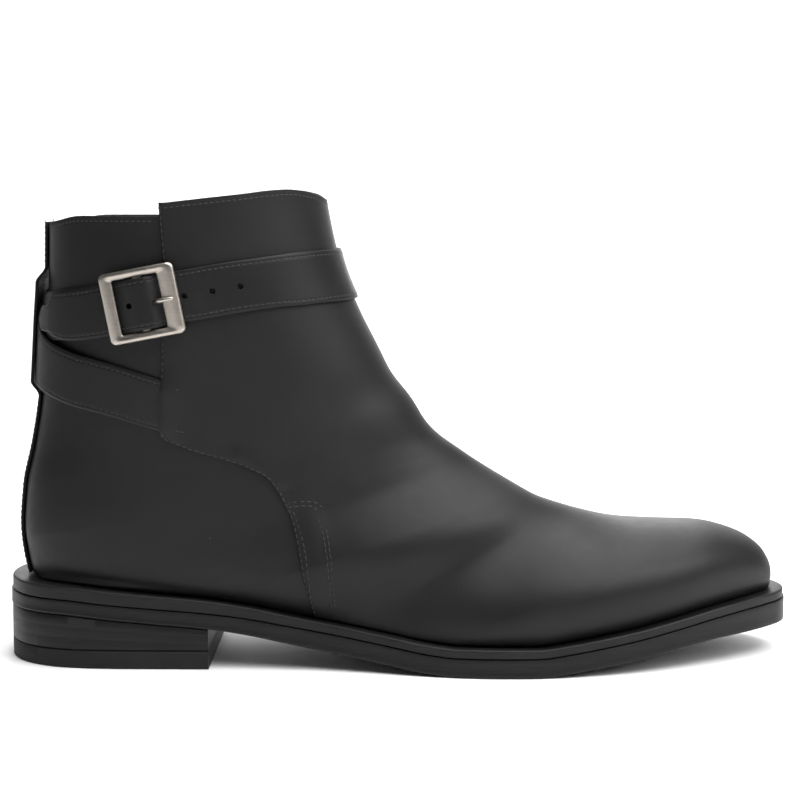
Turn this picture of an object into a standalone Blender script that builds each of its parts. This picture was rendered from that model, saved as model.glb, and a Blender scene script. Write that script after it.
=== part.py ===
"""Leather ankle boot for the right foot, with a wrap strap and a buckle.

Metres, +X to the toe, -Y to the outer side of the foot, +Z up. The origin is the
middle of the heel's tread face, on the floor. Every piece is a closed solid and
keeps the gap GAP to its neighbours.
"""

import math
from functools import lru_cache

import bmesh
import bpy
import numpy as np

# Sole
SOLE_LENGTH = 0.304      # outsole, heel to toe
BALL_WIDTH = 0.104       # outsole, widest
HEEL_WIDTH = 0.070       # outsole over the heel
HEEL_LENGTH = 0.080      # heel, rear to breast
TOP_LIFT = 0.0069        # rubber piece under the heel
STACK_RISE = 0.0132      # leather lifts at the rear
TOE_SPRING = 0.0134      # outsole's tip above the floor
SOLE_THICK = 0.0107      # welt and outsole together
WELT_THICK = 0.0034      # welt at the forefoot
WELT_SET = 0.0006        # welt's edge inside the outsole's edge
WELT_LAP = 0.0008        # welt reaches this far inside the upper's wall
MARGIN = 0.0065          # outsole's edge to the upper
EDGE_ROUND = 0.0008      # rounding of the sole's edges
INSOLE_PROUD = 0.0015    # footbed above the welt

# Upper
SHAFT_HEIGHT = 0.1483    # collar's highest point above the heel seat
ANKLE_WIDTH = 0.078      # shaft, side to side
TOE_RISE = 0.035         # vamp over the toes, above the welt
BULGE = 0.085            # leather swells past its seat by this share
BLEND = 0.003            # softness of the change from shaft to forefoot
WALL = 0.0022            # leather and lining
PANEL = 0.0012           # front panel over the quarter
SEAM_RAMP = 0.0004       # width of the panel's cut edge
COLLAR_BACK = 0.1361     # collar above the heel seat, at the back
COLLAR_SIDE = 0.1387     # at the side seam, behind it
COLLAR_STEP = 0.1435     # at the side seam, in front of it
COLLAR_FRONT = 0.1445    # at the front

# Straps and buckle
STRAP_WIDTH = 0.0190
STRAP_THICK = 0.0014
STAY_WIDTH = 0.019       # back strip at the top
STAY_FLARE = 0.003       # wider by this at the welt
STAY_THICK = 0.0012
BUCKLE_LENGTH = 0.0285   # along the strap
BUCKLE_RAIL = 0.0031     # its upper and lower rails
BUCKLE_REAR = 0.0048     # its rear bar
BUCKLE_FORE = 0.0065     # its front bar, on which the prong rests
BUCKLE_THICK = 0.0019
BUCKLE_ROUND = 0.0022    # corner radius
BAR_WIDTH = 0.0032       # hidden centre bar
BAR_THICK = 0.0022
PRONG_WIDTH = 0.0018
HOLE_PITCH = 0.0103
HOLE_WIDTH = 0.0022
HOLE_COUNT = 5
HOLE_FIRST = -0.0046     # first hole from the buckle's middle

GAP = 0.0003             # between neighbouring pieces

HEEL_RISE = TOP_LIFT + STACK_RISE
REAR = -HEEL_LENGTH / 2

# Outsole's outline, from the rear round the outer side, the toe and the inner side.
# Columns: x (share of SOLE_LENGTH), y as share of HEEL_WIDTH and as share of BALL_WIDTH.
OUTLINE = (
    (0.000, 0.000, 0.000), (0.008, -0.186, 0.000), (0.033, -0.350, 0.000),
    (0.076, -0.457, 0.000), (0.132, -0.497, 0.000), (0.197, -0.506, 0.000),
    (0.263, -0.511, 0.000), (0.329, -0.400, -0.081), (0.395, -0.220, -0.213),
    (0.461, -0.080, -0.342), (0.526, 0.000, -0.442), (0.592, 0.000, -0.474),
    (0.651, 0.000, -0.479), (0.711, 0.000, -0.462), (0.776, 0.000, -0.419),
    (0.836, 0.000, -0.358), (0.888, 0.000, -0.284), (0.931, 0.000, -0.207),
    (0.966, 0.000, -0.130), (0.991, 0.000, -0.048), (1.000, 0.000, 0.058),
    (0.991, 0.000, 0.160), (0.966, 0.000, 0.243), (0.928, 0.000, 0.315),
    (0.875, 0.000, 0.388), (0.816, 0.000, 0.447), (0.757, 0.000, 0.490),
    (0.697, 0.000, 0.516), (0.645, 0.000, 0.521), (0.586, 0.000, 0.500),
    (0.526, 0.000, 0.452), (0.467, 0.080, 0.334), (0.408, 0.200, 0.192),
    (0.349, 0.330, 0.068), (0.289, 0.428, 0.000), (0.230, 0.457, 0.000),
    (0.171, 0.486, 0.000), (0.115, 0.490, 0.000), (0.066, 0.447, 0.000),
    (0.030, 0.343, 0.000), (0.007, 0.179, 0.000),
)

# Sole from the side. Columns: x (share of SOLE_LENGTH), underside as share of
# HEEL_RISE and of TOE_SPRING, welt (share of WELT_THICK), upper's inset (share of MARGIN).
PROFILE = (
    (0.000, 1.02, 0.00, 1.50, 1.46), (0.079, 1.01, 0.00, 1.50, 1.06),
    (0.132, 0.94, 0.00, 1.50, 0.97), (0.197, 0.85, 0.00, 1.45, 0.97),
    (0.263, 0.76, 0.00, 1.40, 0.97), (0.309, 0.66, 0.00, 1.30, 0.97),
    (0.368, 0.48, 0.00, 1.15, 1.00), (0.434, 0.30, 0.00, 1.05, 1.04),
    (0.490, 0.155, 0.00, 1.00, 1.06), (0.533, 0.05, 0.00, 1.00, 1.06),
    (0.572, 0.00, 0.00, 1.00, 1.06), (0.668, 0.00, 0.00, 1.00, 1.06),
    (0.707, 0.00, 0.10, 1.00, 1.07), (0.747, 0.00, 0.23, 1.00, 1.08),
    (0.796, 0.00, 0.40, 1.00, 1.09), (0.849, 0.00, 0.62, 1.00, 1.10),
    (0.905, 0.00, 0.83, 1.00, 1.12), (0.964, 0.00, 0.96, 1.00, 1.14),
    (1.000, 0.00, 1.00, 1.00, 1.14),
)

# Sections of the upper, collar to toe. Each lies in a plane that holds the Y direction
# and runs from a lower point on the back line, later on the seat, to the ridge.
# Columns: lower point's x past the seat's rear (share of SOLE_LENGTH on the back line) or
# its place along the seat (share of the seat), its height (share of SHAFT_HEIGHT), the
# ridge's x (share of SOLE_LENGTH), its height over the welt below it as share of
# SHAFT_HEIGHT and of TOE_RISE, half width (share of ANKLE_WIDTH), fullness at the ridge
# and at the foot.
BACK_ROWS = (
    (0.0273, 1.045, 0.3990, 1.128, 0.000, 0.500, 2.15, 2.20),
    (0.0266, 0.916, 0.4036, 1.059, 0.000, 0.500, 2.15, 2.20),
    (0.0247, 0.775, 0.4200, 0.907, 0.000, 0.506, 2.15, 2.20),
    (0.0207, 0.667, 0.4460, 0.782, 0.000, 0.506, 2.10, 2.20),
    (0.0138, 0.471, 0.4967, 0.612, 0.000, 0.494, 2.00, 2.30),
    (0.0010, 0.347, 0.5372, 0.513, 0.000, 0.481, 1.90, 2.50),
    (-0.0102, 0.240, 0.5700, 0.465, 0.000, 0.475, 1.85, 2.70),
    (-0.0141, 0.133, 0.5997, 0.427, 0.000, 0.474, 1.85, 2.80),
    (-0.0072, 0.036, 0.6135, 0.410, 0.000, 0.472, 1.85, 2.80),
    (0.0000, 0.000, 0.6200, 0.403, 0.000, 0.470, 1.85, 2.80),
)
SEAT_ROWS = (
    (0.106, 0.0, 0.6263, 0.300, 0.400, 0.470, 1.85, 2.70),
    (0.239, 0.0, 0.6395, 0.200, 0.763, 0.465, 1.85, 2.50),
    (0.368, 0.0, 0.6658, 0.100, 1.071, 0.440, 1.90, 2.30),
    (0.489, 0.0, 0.7125, 0.030, 1.154, 0.400, 2.00, 2.20),
    (0.629, 0.0, 0.7625, 0.000, 1.116, 0.350, 2.10, 2.10),
    (0.751, 0.0, 0.8283, 0.000, 0.980, 0.300, 2.20, 2.00),
    (0.855, 0.0, 0.8997, 0.000, 0.789, 0.200, 2.30, 2.00),
    (0.942, 0.0, 0.9480, 0.000, 0.549, 0.080, 2.30, 2.00),
    (0.980, 0.0, 0.9690, 0.000, 0.346, 0.020, 2.20, 2.00),
    (0.996, 0.0, 0.9763, 0.000, 0.194, 0.000, 2.10, 2.00),
    (1.000, 0.0, 0.9757, 0.000, 0.000, 0.000, 2.00, 2.00),
)

# Side seam, where the front panel ends. Columns: height above the heel seat (share of
# SHAFT_HEIGHT), x (share of SOLE_LENGTH).
SEAM = (
    (-0.060, 0.392), (0.025, 0.381), (0.122, 0.373), (0.174, 0.367), (0.215, 0.358),
    (0.248, 0.349), (0.281, 0.336), (0.312, 0.307), (0.360, 0.235), (0.388, 0.2085),
    (0.430, 0.2075), (0.960, 0.2130), (1.060, 0.2135),
)

# Strap lines. Columns: turn from the front over the outer side (1 is the back, 2 the
# front again), middle of the strap above the heel seat (share of SHAFT_HEIGHT).
WRAP_LINE = (
    (0.54, 0.451), (0.66, 0.500), (0.77, 0.530), (0.887, 0.566), (1.00, 0.634),
    (1.113, 0.694), (1.25, 0.724), (1.43, 0.750), (1.62, 0.768), (1.80, 0.780),
    (2.00, 0.784), (2.20, 0.780), (2.38, 0.762), (2.50, 0.738), (2.58, 0.718),
    (2.66, 0.701), (2.72, 0.690), (2.80, 0.681), (2.92, 0.672),
)
# Underside of the wrap strap above the quarter. Columns: turn, strap layers below, panel
# layers below.
WRAP_LIFT = (
    (0.54, 0.0, 0.0), (0.63, 0.0, 0.0), (0.75, 1.0, 0.0), (1.25, 1.0, 0.0),
    (1.335, 0.1, 0.15), (1.425, 0.0, 1.0), (2.00, 0.0, 1.0), (2.46, 0.0, 1.0),
    (2.500, 1.0, 0.0), (2.95, 1.0, 0.0),
)
BUCKLE_TURN = 2.580      # buckle's middle
WRAP_START = 0.012       # strap's start behind the side seam, in turns
WRAP_END = 2.905         # tip
# Tip of the wrap strap. Columns: turns before the end, lower and upper edge as shares
# of half the width.
TIP = ((0.000, -0.10, -0.02), (0.012, -0.42, 0.30), (0.035, -0.62, 0.62),
       (0.065, -0.80, 0.98), (0.105, -0.96, 1.00), (0.140, -1.00, 1.00))
# Line of the buckle strap, columns as in WRAP_LINE, turns counted over the outer side.
BUCKLE_LINE = (
    (0.575, 0.714), (0.66, 0.701), (0.72, 0.692), (0.80, 0.684), (0.887, 0.674),
    (1.00, 0.634), (1.113, 0.566), (1.23, 0.530), (1.34, 0.500), (1.46, 0.451),
)

BLACK = (0.012, 0.012, 0.013, 1.0)
SOLE_BLACK = (0.016, 0.016, 0.017, 1.0)


def monotone(points):
    """Smooth curve through (x, y) points that never overshoots them."""
    xs = np.array([p[0] for p in points], dtype=float)
    ys = np.array([p[1] for p in points], dtype=float)
    step = np.diff(xs)
    slope = np.diff(ys) / step
    tangent = np.zeros(len(xs))
    tangent[0], tangent[-1] = slope[0], slope[-1]
    for i in range(1, len(xs) - 1):
        if slope[i - 1] * slope[i] > 0:
            before = 2 * step[i] + step[i - 1]
            after = step[i] + 2 * step[i - 1]
            tangent[i] = (before + after) / (before / slope[i - 1] + after / slope[i])

    def value(x):
        i = min(max(int(np.searchsorted(xs, x)) - 1, 0), len(step) - 1)
        t = min(max((x - xs[i]) / step[i], 0.0), 1.0)
        return (ys[i] * (1 + 2 * t) * (1 - t) ** 2 + ys[i + 1] * t * t * (3 - 2 * t)
                + step[i] * (tangent[i] * t * (1 - t) ** 2 - tangent[i + 1] * t * t * (1 - t)))

    return value


def columns(table):
    """One curve for each column of a table, over its first column."""
    return [monotone([(row[0], row[k]) for row in table]) for k in range(1, len(table[0]))]


def ease(t):
    """Soft step from 0 to 1."""
    t = min(max(t, 0.0), 1.0)
    return t * t * (3 - 2 * t)


def solve(function, low, high):
    """Root of a function that changes sign between low and high."""
    rising = function(high) > function(low)
    for _ in range(40):
        middle = (low + high) / 2
        if (function(middle) > 0) == rising:
            high = middle
        else:
            low = middle
    return (low + high) / 2


# Sole
under_heel, under_toe, welt_share, inset_share = columns(PROFILE)


def along(x):
    """Share of the sole's length at x."""
    return (x - REAR) / SOLE_LENGTH


def underside(x):
    """Height of the outsole's tread side."""
    return under_heel(along(x)) * HEEL_RISE + under_toe(along(x)) * TOE_SPRING


def seat(x):
    """Height of the welt's top, on which the upper stands."""
    return underside(x) + SOLE_THICK


def welt_under(x):
    """Height of the welt's lower face."""
    return seat(x) - WELT_THICK * welt_share(along(x))


def outline_points():
    """Outsole's outline as a fine closed loop, counter-clockwise from above."""
    knots = np.array([(REAR + x * SOLE_LENGTH, heel * HEEL_WIDTH + ball * BALL_WIDTH)
                      for x, heel, ball in OUTLINE])
    loop = []
    for i in range(len(knots)):
        a, b, c, d = (knots[(i + k - 1) % len(knots)] for k in range(4))
        for t in np.linspace(0, 1, 16, endpoint=False):
            loop.append(0.5 * (2 * b + (c - a) * t + (2 * a - 5 * b + 4 * c - d) * t * t
                               + (3 * b - a - 3 * c + d) * t ** 3))
    return np.array(loop)


LOOP = outline_points()
TANGENT = np.roll(LOOP, -1, axis=0) - np.roll(LOOP, 1, axis=0)
NORMAL = np.column_stack((TANGENT[:, 1], -TANGENT[:, 0]))
NORMAL = NORMAL / np.linalg.norm(NORMAL, axis=1)[:, None]


def upper_inset(x):
    """Outsole's edge to the quarter leather at x."""
    return MARGIN * inset_share(along(x))


@lru_cache(maxsize=None)
def inset_loop(kind, amount):
    """Outline moved inwards: by a fixed amount, or to the upper's leather less an amount."""
    if kind == "edge":
        depth = np.full(len(LOOP), amount)
    else:
        depth = np.array([upper_inset(x) - amount for x in LOOP[:, 0]])
    return LOOP - NORMAL * depth[:, None]


@lru_cache(maxsize=None)
def sides(kind, amount):
    """Ends of an inset outline, and its outer and inner side as tables over x."""
    loop = inset_loop(kind, amount)
    rear, toe = int(np.argmin(loop[:, 0])), int(np.argmax(loop[:, 0]))
    order = np.roll(loop, -rear, axis=0)
    split = (toe - rear) % len(loop)
    outer = order[:split + 1]
    inner = np.vstack((order[split:], order[:1]))[::-1]
    return loop[rear, 0], loop[toe, 0], outer, inner


def edge_y(kind, amount, x, side):
    """Edge of an inset outline at x, on the outer side (-1) or the inner side (1)."""
    rear, toe, outer, inner = sides(kind, amount)
    table = outer if side < 0 else inner
    return float(np.interp(x, table[:, 0], table[:, 1]))


def spread(low, high, count):
    """Stations from low to high, closer together at both ends."""
    return [low + (high - low) * (1 - math.cos(math.pi * i / count)) / 2
            for i in range(count + 1)]


# Upper
SEAT_START = len(BACK_ROWS) - 1
LAST_ROW = SEAT_START + len(SEAT_ROWS)
place_back = monotone([(i, row[0]) for i, row in enumerate(BACK_ROWS)])
place_seat = monotone([(SEAT_START, 0.0)]
                      + [(SEAT_START + 1 + i, row[0]) for i, row in enumerate(SEAT_ROWS)])
row_curves = [monotone([(i, row[k]) for i, row in enumerate(BACK_ROWS + SEAT_ROWS)])
              for k in range(1, 8)]
seam_x = monotone(SEAM)


def lower_point(row, offset):
    """Lower point (x, z) of a section, and the seat's middle y and half width there."""
    rear, toe, _, _ = sides("upper", offset)
    if row <= SEAT_START:
        base = sides("upper", 0.0)[0]
        x = base + place_back(row) * SOLE_LENGTH - offset
        return x, seat(base) + GAP + row_curves[0](row) * SHAFT_HEIGHT, 0.0, 0.0
    x = rear + place_seat(row) * (toe - rear)
    low, high = edge_y("upper", offset, x, -1), edge_y("upper", offset, x, 1)
    return x, seat(x) + GAP, (low + high) / 2, max((high - low) / 2, 0.0)


@lru_cache(maxsize=None)
def ridge_point(row):
    """Ridge point (x, z) of a section on the quarter leather."""
    if row >= LAST_ROW:
        return lower_point(row, 0.0)[:2]
    _, share, shaft, toe, _, _, _ = (curve(row) for curve in row_curves)
    x = REAR + share * SOLE_LENGTH
    return x, seat(x) + GAP + shaft * SHAFT_HEIGHT + toe * TOE_RISE


@lru_cache(maxsize=None)
def ridge_normal(row):
    """Direction (x, z) square to the ridge, level at the toe's tip."""
    low, high = max(row - 0.05, 0.0), min(row + 0.05, LAST_ROW)
    (x0, z0), (x1, z1) = ridge_point(low), ridge_point(high)
    size = math.hypot(x1 - x0, z1 - z0)
    nx, nz = (z0 - z1) / size, (x1 - x0) / size
    level = ease(row - (LAST_ROW - 1))
    nx, nz = nx + (1 - nx) * level, nz * (1 - level)
    size = math.hypot(nx, nz)
    return nx / size, nz / size


@lru_cache(maxsize=None)
def section(row, offset):
    """Lower point, ridge point, middle y, half width, fullnesses and last angle."""
    x, z, middle, foot = lower_point(row, offset)
    ridge_x, ridge_z = ridge_point(row)
    nx, nz = ridge_normal(row)
    ridge_x, ridge_z = ridge_x + offset * nx, ridge_z + offset * nz
    if row >= LAST_ROW:
        ridge_x, ridge_z = x, z
    _, _, _, _, width, front, back = (curve(row) for curve in row_curves)
    shaft_half, swell = width * ANKLE_WIDTH, lower_point(row, 0.0)[3] * (1 + BULGE)
    blend = math.hypot(shaft_half - swell, BLEND * min(1.0, foot / shaft_half if shaft_half else 0.0))
    half = max((shaft_half + swell + blend) / 2 + offset, foot * 1.01)
    ratio = min(foot / half, 0.99) if half > 0 else 0.0
    last = math.pi - math.asin(ratio ** (back / 2)) if row < LAST_ROW else math.pi
    return x, z, ridge_x, ridge_z, middle, half, 2 / front, 2 / back, last


def upper_point(row, angle, side, offset=0.0):
    """Point of the upper: angle 0 is the ridge, the section's last angle its foot."""
    x, z, ridge_x, ridge_z, middle, half, front, back, last = section(row, offset)
    angle = angle * last / section(row, 0.0)[8]
    power = front if angle <= math.pi / 2 else back
    cosine = math.cos(angle)
    turn = math.copysign(abs(cosine) ** power, cosine)
    end = math.copysign(abs(math.cos(last)) ** back, math.cos(last))
    share = (turn - end) / (1 - end)
    y = middle + side * half * abs(math.sin(angle)) ** power
    return np.array((x + (ridge_x - x) * share, y, z + (ridge_z - z) * share))


def seam_angle(row):
    """Angle at which a section crosses the side seam, or its last angle past the seam."""
    last = section(row, 0.0)[8]
    heel_seat = seat(sides("upper", 0.0)[0])

    def ahead(angle):
        x, _, z = upper_point(row, angle, -1)
        return x - (REAR + SOLE_LENGTH * seam_x((z - heel_seat) / SHAFT_HEIGHT))

    if ahead(last) >= 0:
        return None
    return solve(ahead, 0.0, last)


def collar_height(x, panel):
    """Height of the collar's edge at x, on the front panel or behind the seam."""
    rear, _ = lower_point(1, 0.0)[:2]
    front, _ = ridge_point(1)
    seam = REAR + SOLE_LENGTH * seam_x(0.9)
    base = seat(sides("upper", 0.0)[0])
    if not panel:
        return base + COLLAR_BACK + (COLLAR_SIDE - COLLAR_BACK) * ease((x - rear) / (seam - rear) * 3)
    t = min(max((x - seam) / (front - seam), 0.0), 1.0)
    crown = monotone(((0.0, COLLAR_STEP), (0.45, COLLAR_STEP + 0.6 * (SHAFT_HEIGHT - COLLAR_STEP)),
                      (0.78, SHAFT_HEIGHT), (0.92, SHAFT_HEIGHT - 0.35 * (SHAFT_HEIGHT - COLLAR_FRONT)),
                      (1.0, COLLAR_FRONT)))
    return base + crown(t)


def row_at_height(angle, side, z, offset=0.0):
    """Row whose point at the angle lies at height z, on the shaft."""
    return solve(lambda row: upper_point(row, angle, side, offset)[2] - z, 0.0, SEAT_START)


def collar_row(angle, side, panel):
    """Row at which the upper ends at the collar."""
    row = 1.0
    for _ in range(4):
        x = upper_point(row, angle, side)[0]
        row = row_at_height(angle, side, collar_height(x, panel))
    return row


# Meshes
def clear_scene():
    """Remove everything that the scene holds."""
    for item in list(bpy.data.objects):
        bpy.data.objects.remove(item, do_unlink=True)


def material(name, colour, roughness, metallic=0.0):
    """Plain material of one part."""
    result = bpy.data.materials.new(name)
    result.use_nodes = True
    shader = result.node_tree.nodes["Principled BSDF"]
    shader.inputs["Base Color"].default_value = colour
    shader.inputs["Roughness"].default_value = roughness
    shader.inputs["Metallic"].default_value = metallic
    result.diffuse_color = colour
    return result


def finish_mesh(name, points, faces, look, angle=40.0):
    """Object from points and faces, with coincident points joined and faces turned out."""
    mesh = bpy.data.meshes.new(name)
    mesh.from_pydata([tuple(float(c) for c in p) for p in points], [], faces)
    shape = bmesh.new()
    shape.from_mesh(mesh)
    bmesh.ops.remove_doubles(shape, verts=shape.verts, dist=0.000005)
    bmesh.ops.recalc_face_normals(shape, faces=shape.faces)
    if shape.calc_volume(signed=True) < 0:
        bmesh.ops.reverse_faces(shape, faces=shape.faces)
    shape.to_mesh(mesh)
    shape.free()
    mesh.shade_smooth()
    mesh.set_sharp_from_angle(angle=math.radians(angle))
    mesh.materials.append(look)
    piece = bpy.data.objects.new(name, mesh)
    bpy.context.scene.collection.objects.link(piece)
    return piece


def skin(rings, closed=True):
    """Faces between rings of equal length, as quads over their running numbers."""
    count = len(rings[0])
    faces = []
    for i in range(len(rings) - 1):
        for j in range(count if closed else count - 1):
            k = (j + 1) % count
            faces.append((i * count + j, i * count + k, (i + 1) * count + k, (i + 1) * count + j))
    return faces


def loft(name, rings, look, caps=(True, True), ring=False, angle=40.0):
    """Solid through closed rings, with end faces, or joined end to end as a ring."""
    count = len(rings[0])
    points = [p for one in rings for p in one]
    faces = skin(rings)
    if ring:
        final = (len(rings) - 1) * count
        for j in range(count):
            k = (j + 1) % count
            faces.append((final + j, final + k, k, j))
    else:
        if caps[0]:
            faces.append(tuple(range(count)))
        if caps[1]:
            faces.append(tuple(len(points) - 1 - j for j in range(count)))
    return finish_mesh(name, points, faces, look, angle)


def cut(piece, tools):
    """Take tool solids out of a piece."""
    for tool in tools:
        modifier = piece.modifiers.new("cut", "BOOLEAN")
        modifier.operation = "DIFFERENCE"
        modifier.solver = "EXACT"
        modifier.object = tool
        tool.hide_render = True
        tool.display_type = "WIRE"


def join(piece, tool):
    """Unite a piece with another solid, which is then left as a guide."""
    modifier = piece.modifiers.new("join", "BOOLEAN")
    modifier.operation = "UNION"
    modifier.solver = "EXACT"
    modifier.object = tool
    tool.hide_render = True
    tool.display_type = "WIRE"


def slab_ring(x, low_y, high_y, levels):
    """Cross-section of a sole layer at x: levels are (height, inset of the edge)."""
    def shy(inset):
        return min(inset, (high_y - low_y) / 2)

    lower = [(x, low_y + shy(inset), z) for z, inset in levels]
    upper = [(x, high_y - shy(inset), z) for z, inset in reversed(levels)]
    return lower + upper


def sole_layer(name, kind, amount, levels, look, last_x=None, count=40):
    """Layer with the sole's outline, whose levels follow x."""
    rear, toe, _, _ = sides(kind, amount)
    stop = toe if last_x is None else last_x
    xs = spread(rear, toe, count)
    if last_x is not None:
        xs = [x for x in spread(rear, rear + 2 * (stop - rear), 2 * (count // 2)) if x < stop - 1e-6]
        xs.append(stop)
    flat = REAR + SOLE_LENGTH * 0.572, REAR + SOLE_LENGTH * 0.668
    if last_x is None:
        xs = sorted([x for x in xs if min(abs(x - f) for f in flat) > 0.002] + list(flat))
    rings = []
    for x in xs:
        low_y, high_y = edge_y(kind, amount, x, -1), edge_y(kind, amount, x, 1)
        if x <= rear or x >= toe:
            low_y = high_y = (low_y + high_y) / 2
        rings.append(slab_ring(x, low_y, high_y, levels(x)))
    return loft(name, rings, look, caps=(False, last_x is not None))


def make_sole(looks):
    """Outsole, heel, welt and footbed."""
    sole_layer("outsole", "edge", 0.0, lambda x: (
        (underside(x), EDGE_ROUND), (underside(x) + EDGE_ROUND, 0.0),
        (welt_under(x) - GAP - EDGE_ROUND, WELT_SET / 2), (welt_under(x) - GAP, WELT_SET)),
        looks["sole"])
    breast = HEEL_LENGTH / 2
    sole_layer("heel_stack", "edge", WELT_SET / 2, lambda x: (
        (TOP_LIFT + GAP, 0.0), (underside(x) - GAP, WELT_SET / 2)), looks["stack"], breast, 24)
    sole_layer("top_lift", "edge", WELT_SET / 2, lambda x: (
        (0.0, EDGE_ROUND / 2), (EDGE_ROUND / 2, 0.0), (TOP_LIFT, 0.0)), looks["rubber"], breast, 24)

    turns = np.linspace(0, len(LOOP), 84, endpoint=False).astype(int)
    outer = inset_loop("edge", WELT_SET)
    proud = inset_loop("edge", WELT_SET + EDGE_ROUND)
    inner = inset_loop("upper", -(WALL + WELT_LAP))
    rings = []
    for k in turns:
        edge, crown, inside = outer[k], proud[k], inner[k]
        rings.append((
            (edge[0], edge[1], welt_under(edge[0])),
            (edge[0], edge[1], seat(edge[0]) - EDGE_ROUND),
            (crown[0], crown[1], seat(crown[0])),
            (inside[0], inside[1], seat(inside[0])),
            (inside[0], inside[1], welt_under(inside[0]))))
    loft("welt", rings, looks["sole"], ring=True)
    sole_layer("insole", "upper", -(WALL + WELT_LAP + GAP), lambda x: (
        (welt_under(x), 0.0), (seat(x) + INSOLE_PROUD, 0.0)), looks["lining"])


def upper_rows():
    """Rows of the upper's mesh: shares of the way down from the collar, then table rows."""
    shaft = [1.9, 2.3, 2.65, 3.0, 3.4, 3.8, 4.2, 4.6, 4.9, 5.2, 5.5, 5.8, 6.2, 6.6, 7.0, 7.5, 8.0,
             8.5, SEAT_START]
    foot = [9.02, 9.07, 9.14, 9.24, 9.37, 9.6, 10.0, 10.35, 10.7, 11.05, 11.4, 11.7, 12.0, 12.4, 12.8,
            13.3, 13.8, 14.3, 14.8, 15.3, 15.75, 16.2, 16.6, 17.0, 17.5, 18.0, 18.5, 19.0, 19.5, LAST_ROW]
    return shaft, foot


QUARTER_COLUMNS = 7
PANEL_COLUMNS = 11


@lru_cache(maxsize=None)
def upper_column(row, index):
    """Angle of a grid column, counted from the foot to the ridge, and if it is on the panel."""
    crossing = seam_angle(row)
    last = section(row, 0.0)[8]
    panel_share = max(index - QUARTER_COLUMNS - 1, 0) / PANEL_COLUMNS
    if crossing is None:
        return last * (1 - panel_share), True
    if index <= QUARTER_COLUMNS:
        return last + (crossing - last) * index / QUARTER_COLUMNS, False
    edge = crossing - SEAM_RAMP / (ANKLE_WIDTH / 2)
    return edge * (1 - panel_share), True


def make_upper(look):
    """Hollow upper: an outer grid with the panel's step, an inner grid and their edges."""
    shaft, foot = upper_rows()
    half_columns = QUARTER_COLUMNS + 1 + PANEL_COLUMNS
    signed = [(-1, j) for j in range(half_columns + 1)] + [(1, j) for j in
                                                          range(half_columns - 1, -1, -1)]
    first, heads = shaft[0], 3
    rows = [("head", i / heads) for i in range(heads)] + [("row", r) for r in shaft + foot]
    outer, inner = [], []
    for kind, value in rows:
        outer_ring, inner_ring = [], []
        for side, index in signed:
            row = value if kind == "row" else first
            angle, panel = upper_column(row, index)
            if kind == "head":
                top = collar_row(angle, side, panel)
                row = top + (first - top) * value
            outer_ring.append(upper_point(row, angle, side, PANEL if panel else 0.0))
            inner_ring.append(upper_point(row, angle, side, -WALL))
        outer.append(outer_ring)
        inner.append(inner_ring)
    count, total = len(signed), len(rows)
    points = [p for ring in outer for p in ring] + [p for ring in inner for p in ring]
    half = total * count
    faces = skin(outer, closed=False)
    faces += [tuple(reversed([v + half for v in face])) for face in faces]
    for j in range(count - 1):
        faces.append((j + 1, j, half + j, half + j + 1))
    opened = len(rows) - len(foot) - 1
    for i in range(opened, total - 1):
        a, b = i * count, (i + 1) * count
        faces.append((a, b, half + b, half + a))
        a, b = a + count - 1, b + count - 1
        faces.append((b, a, half + a, half + b))
    return finish_mesh("upper", points, faces, look)


# Straps, stay and buckle
wrap_middle = monotone(WRAP_LINE)
buckle_middle = monotone(BUCKLE_LINE)
lift_layers, lift_panel = columns(WRAP_LIFT)
tip_low, tip_high = columns(TIP)
HEEL_SEAT = seat(sides("upper", 0.0)[0]) + GAP
LAYER = STRAP_THICK + GAP


def turned(turn):
    """Angle and side at a turn counted from the front over the outer side."""
    place = turn % 2.0
    if place <= 1.0:
        return place * math.pi, -1
    return (2.0 - place) * math.pi, 1


def shaft_point(turn, z, offset):
    """Point of the shaft at a turn and a height."""
    angle, side = turned(turn)
    return upper_point(row_at_height(angle, side, z, offset), angle, side, offset)


def strap_height(line, turn):
    """Height of a strap's middle at a turn."""
    return HEEL_SEAT + line(turn) * SHAFT_HEIGHT


def strap_reach(line, turn):
    """Half of the strap's width, measured upright."""
    step = 0.004
    a = shaft_point(turn - step, strap_height(line, turn - step), 0.0)
    b = shaft_point(turn + step, strap_height(line, turn + step), 0.0)
    level = math.hypot(b[0] - a[0], b[1] - a[1])
    return STRAP_WIDTH / 2 * math.hypot(level, b[2] - a[2]) / level


def strap_x(turn):
    """Forward position of the wrap strap's middle at a turn."""
    return shaft_point(turn, strap_height(wrap_middle, turn), 0.0)[0]


BUCKLE_X = strap_x(BUCKLE_TURN)
BUCKLE_TILT = math.atan2(strap_height(wrap_middle, BUCKLE_TURN - 0.04)
                         - strap_height(wrap_middle, BUCKLE_TURN + 0.04),
                         strap_x(BUCKLE_TURN - 0.04) - strap_x(BUCKLE_TURN + 0.04))


def buckle_turn(fore):
    """Turn at a distance along the strap from the buckle's middle, towards the front."""
    target = BUCKLE_X + fore * math.cos(BUCKLE_TILT)
    return solve(lambda turn: strap_x(turn) - target, BUCKLE_TURN - 0.4, BUCKLE_TURN + 0.3)


def bar_rise(fore):
    """Share of the strap's rise over the hidden centre bar."""
    top = BAR_WIDTH / 2 + 2 * GAP
    foot = BUCKLE_LENGTH / 2 - (BUCKLE_FORE if fore > 0 else BUCKLE_REAR) - GAP
    return ease((foot - abs(fore)) / (foot - top))


def wrap_offset(turn):
    """Underside of the wrap strap above the quarter leather."""
    under = GAP + lift_layers(turn) * LAYER + lift_panel(turn) * PANEL
    if abs(turn - BUCKLE_TURN) < 0.3:
        fore = (strap_x(turn) - BUCKLE_X) / math.cos(BUCKLE_TILT)
        under += bar_rise(fore) * (BAR_THICK + GAP)
    return under


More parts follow.
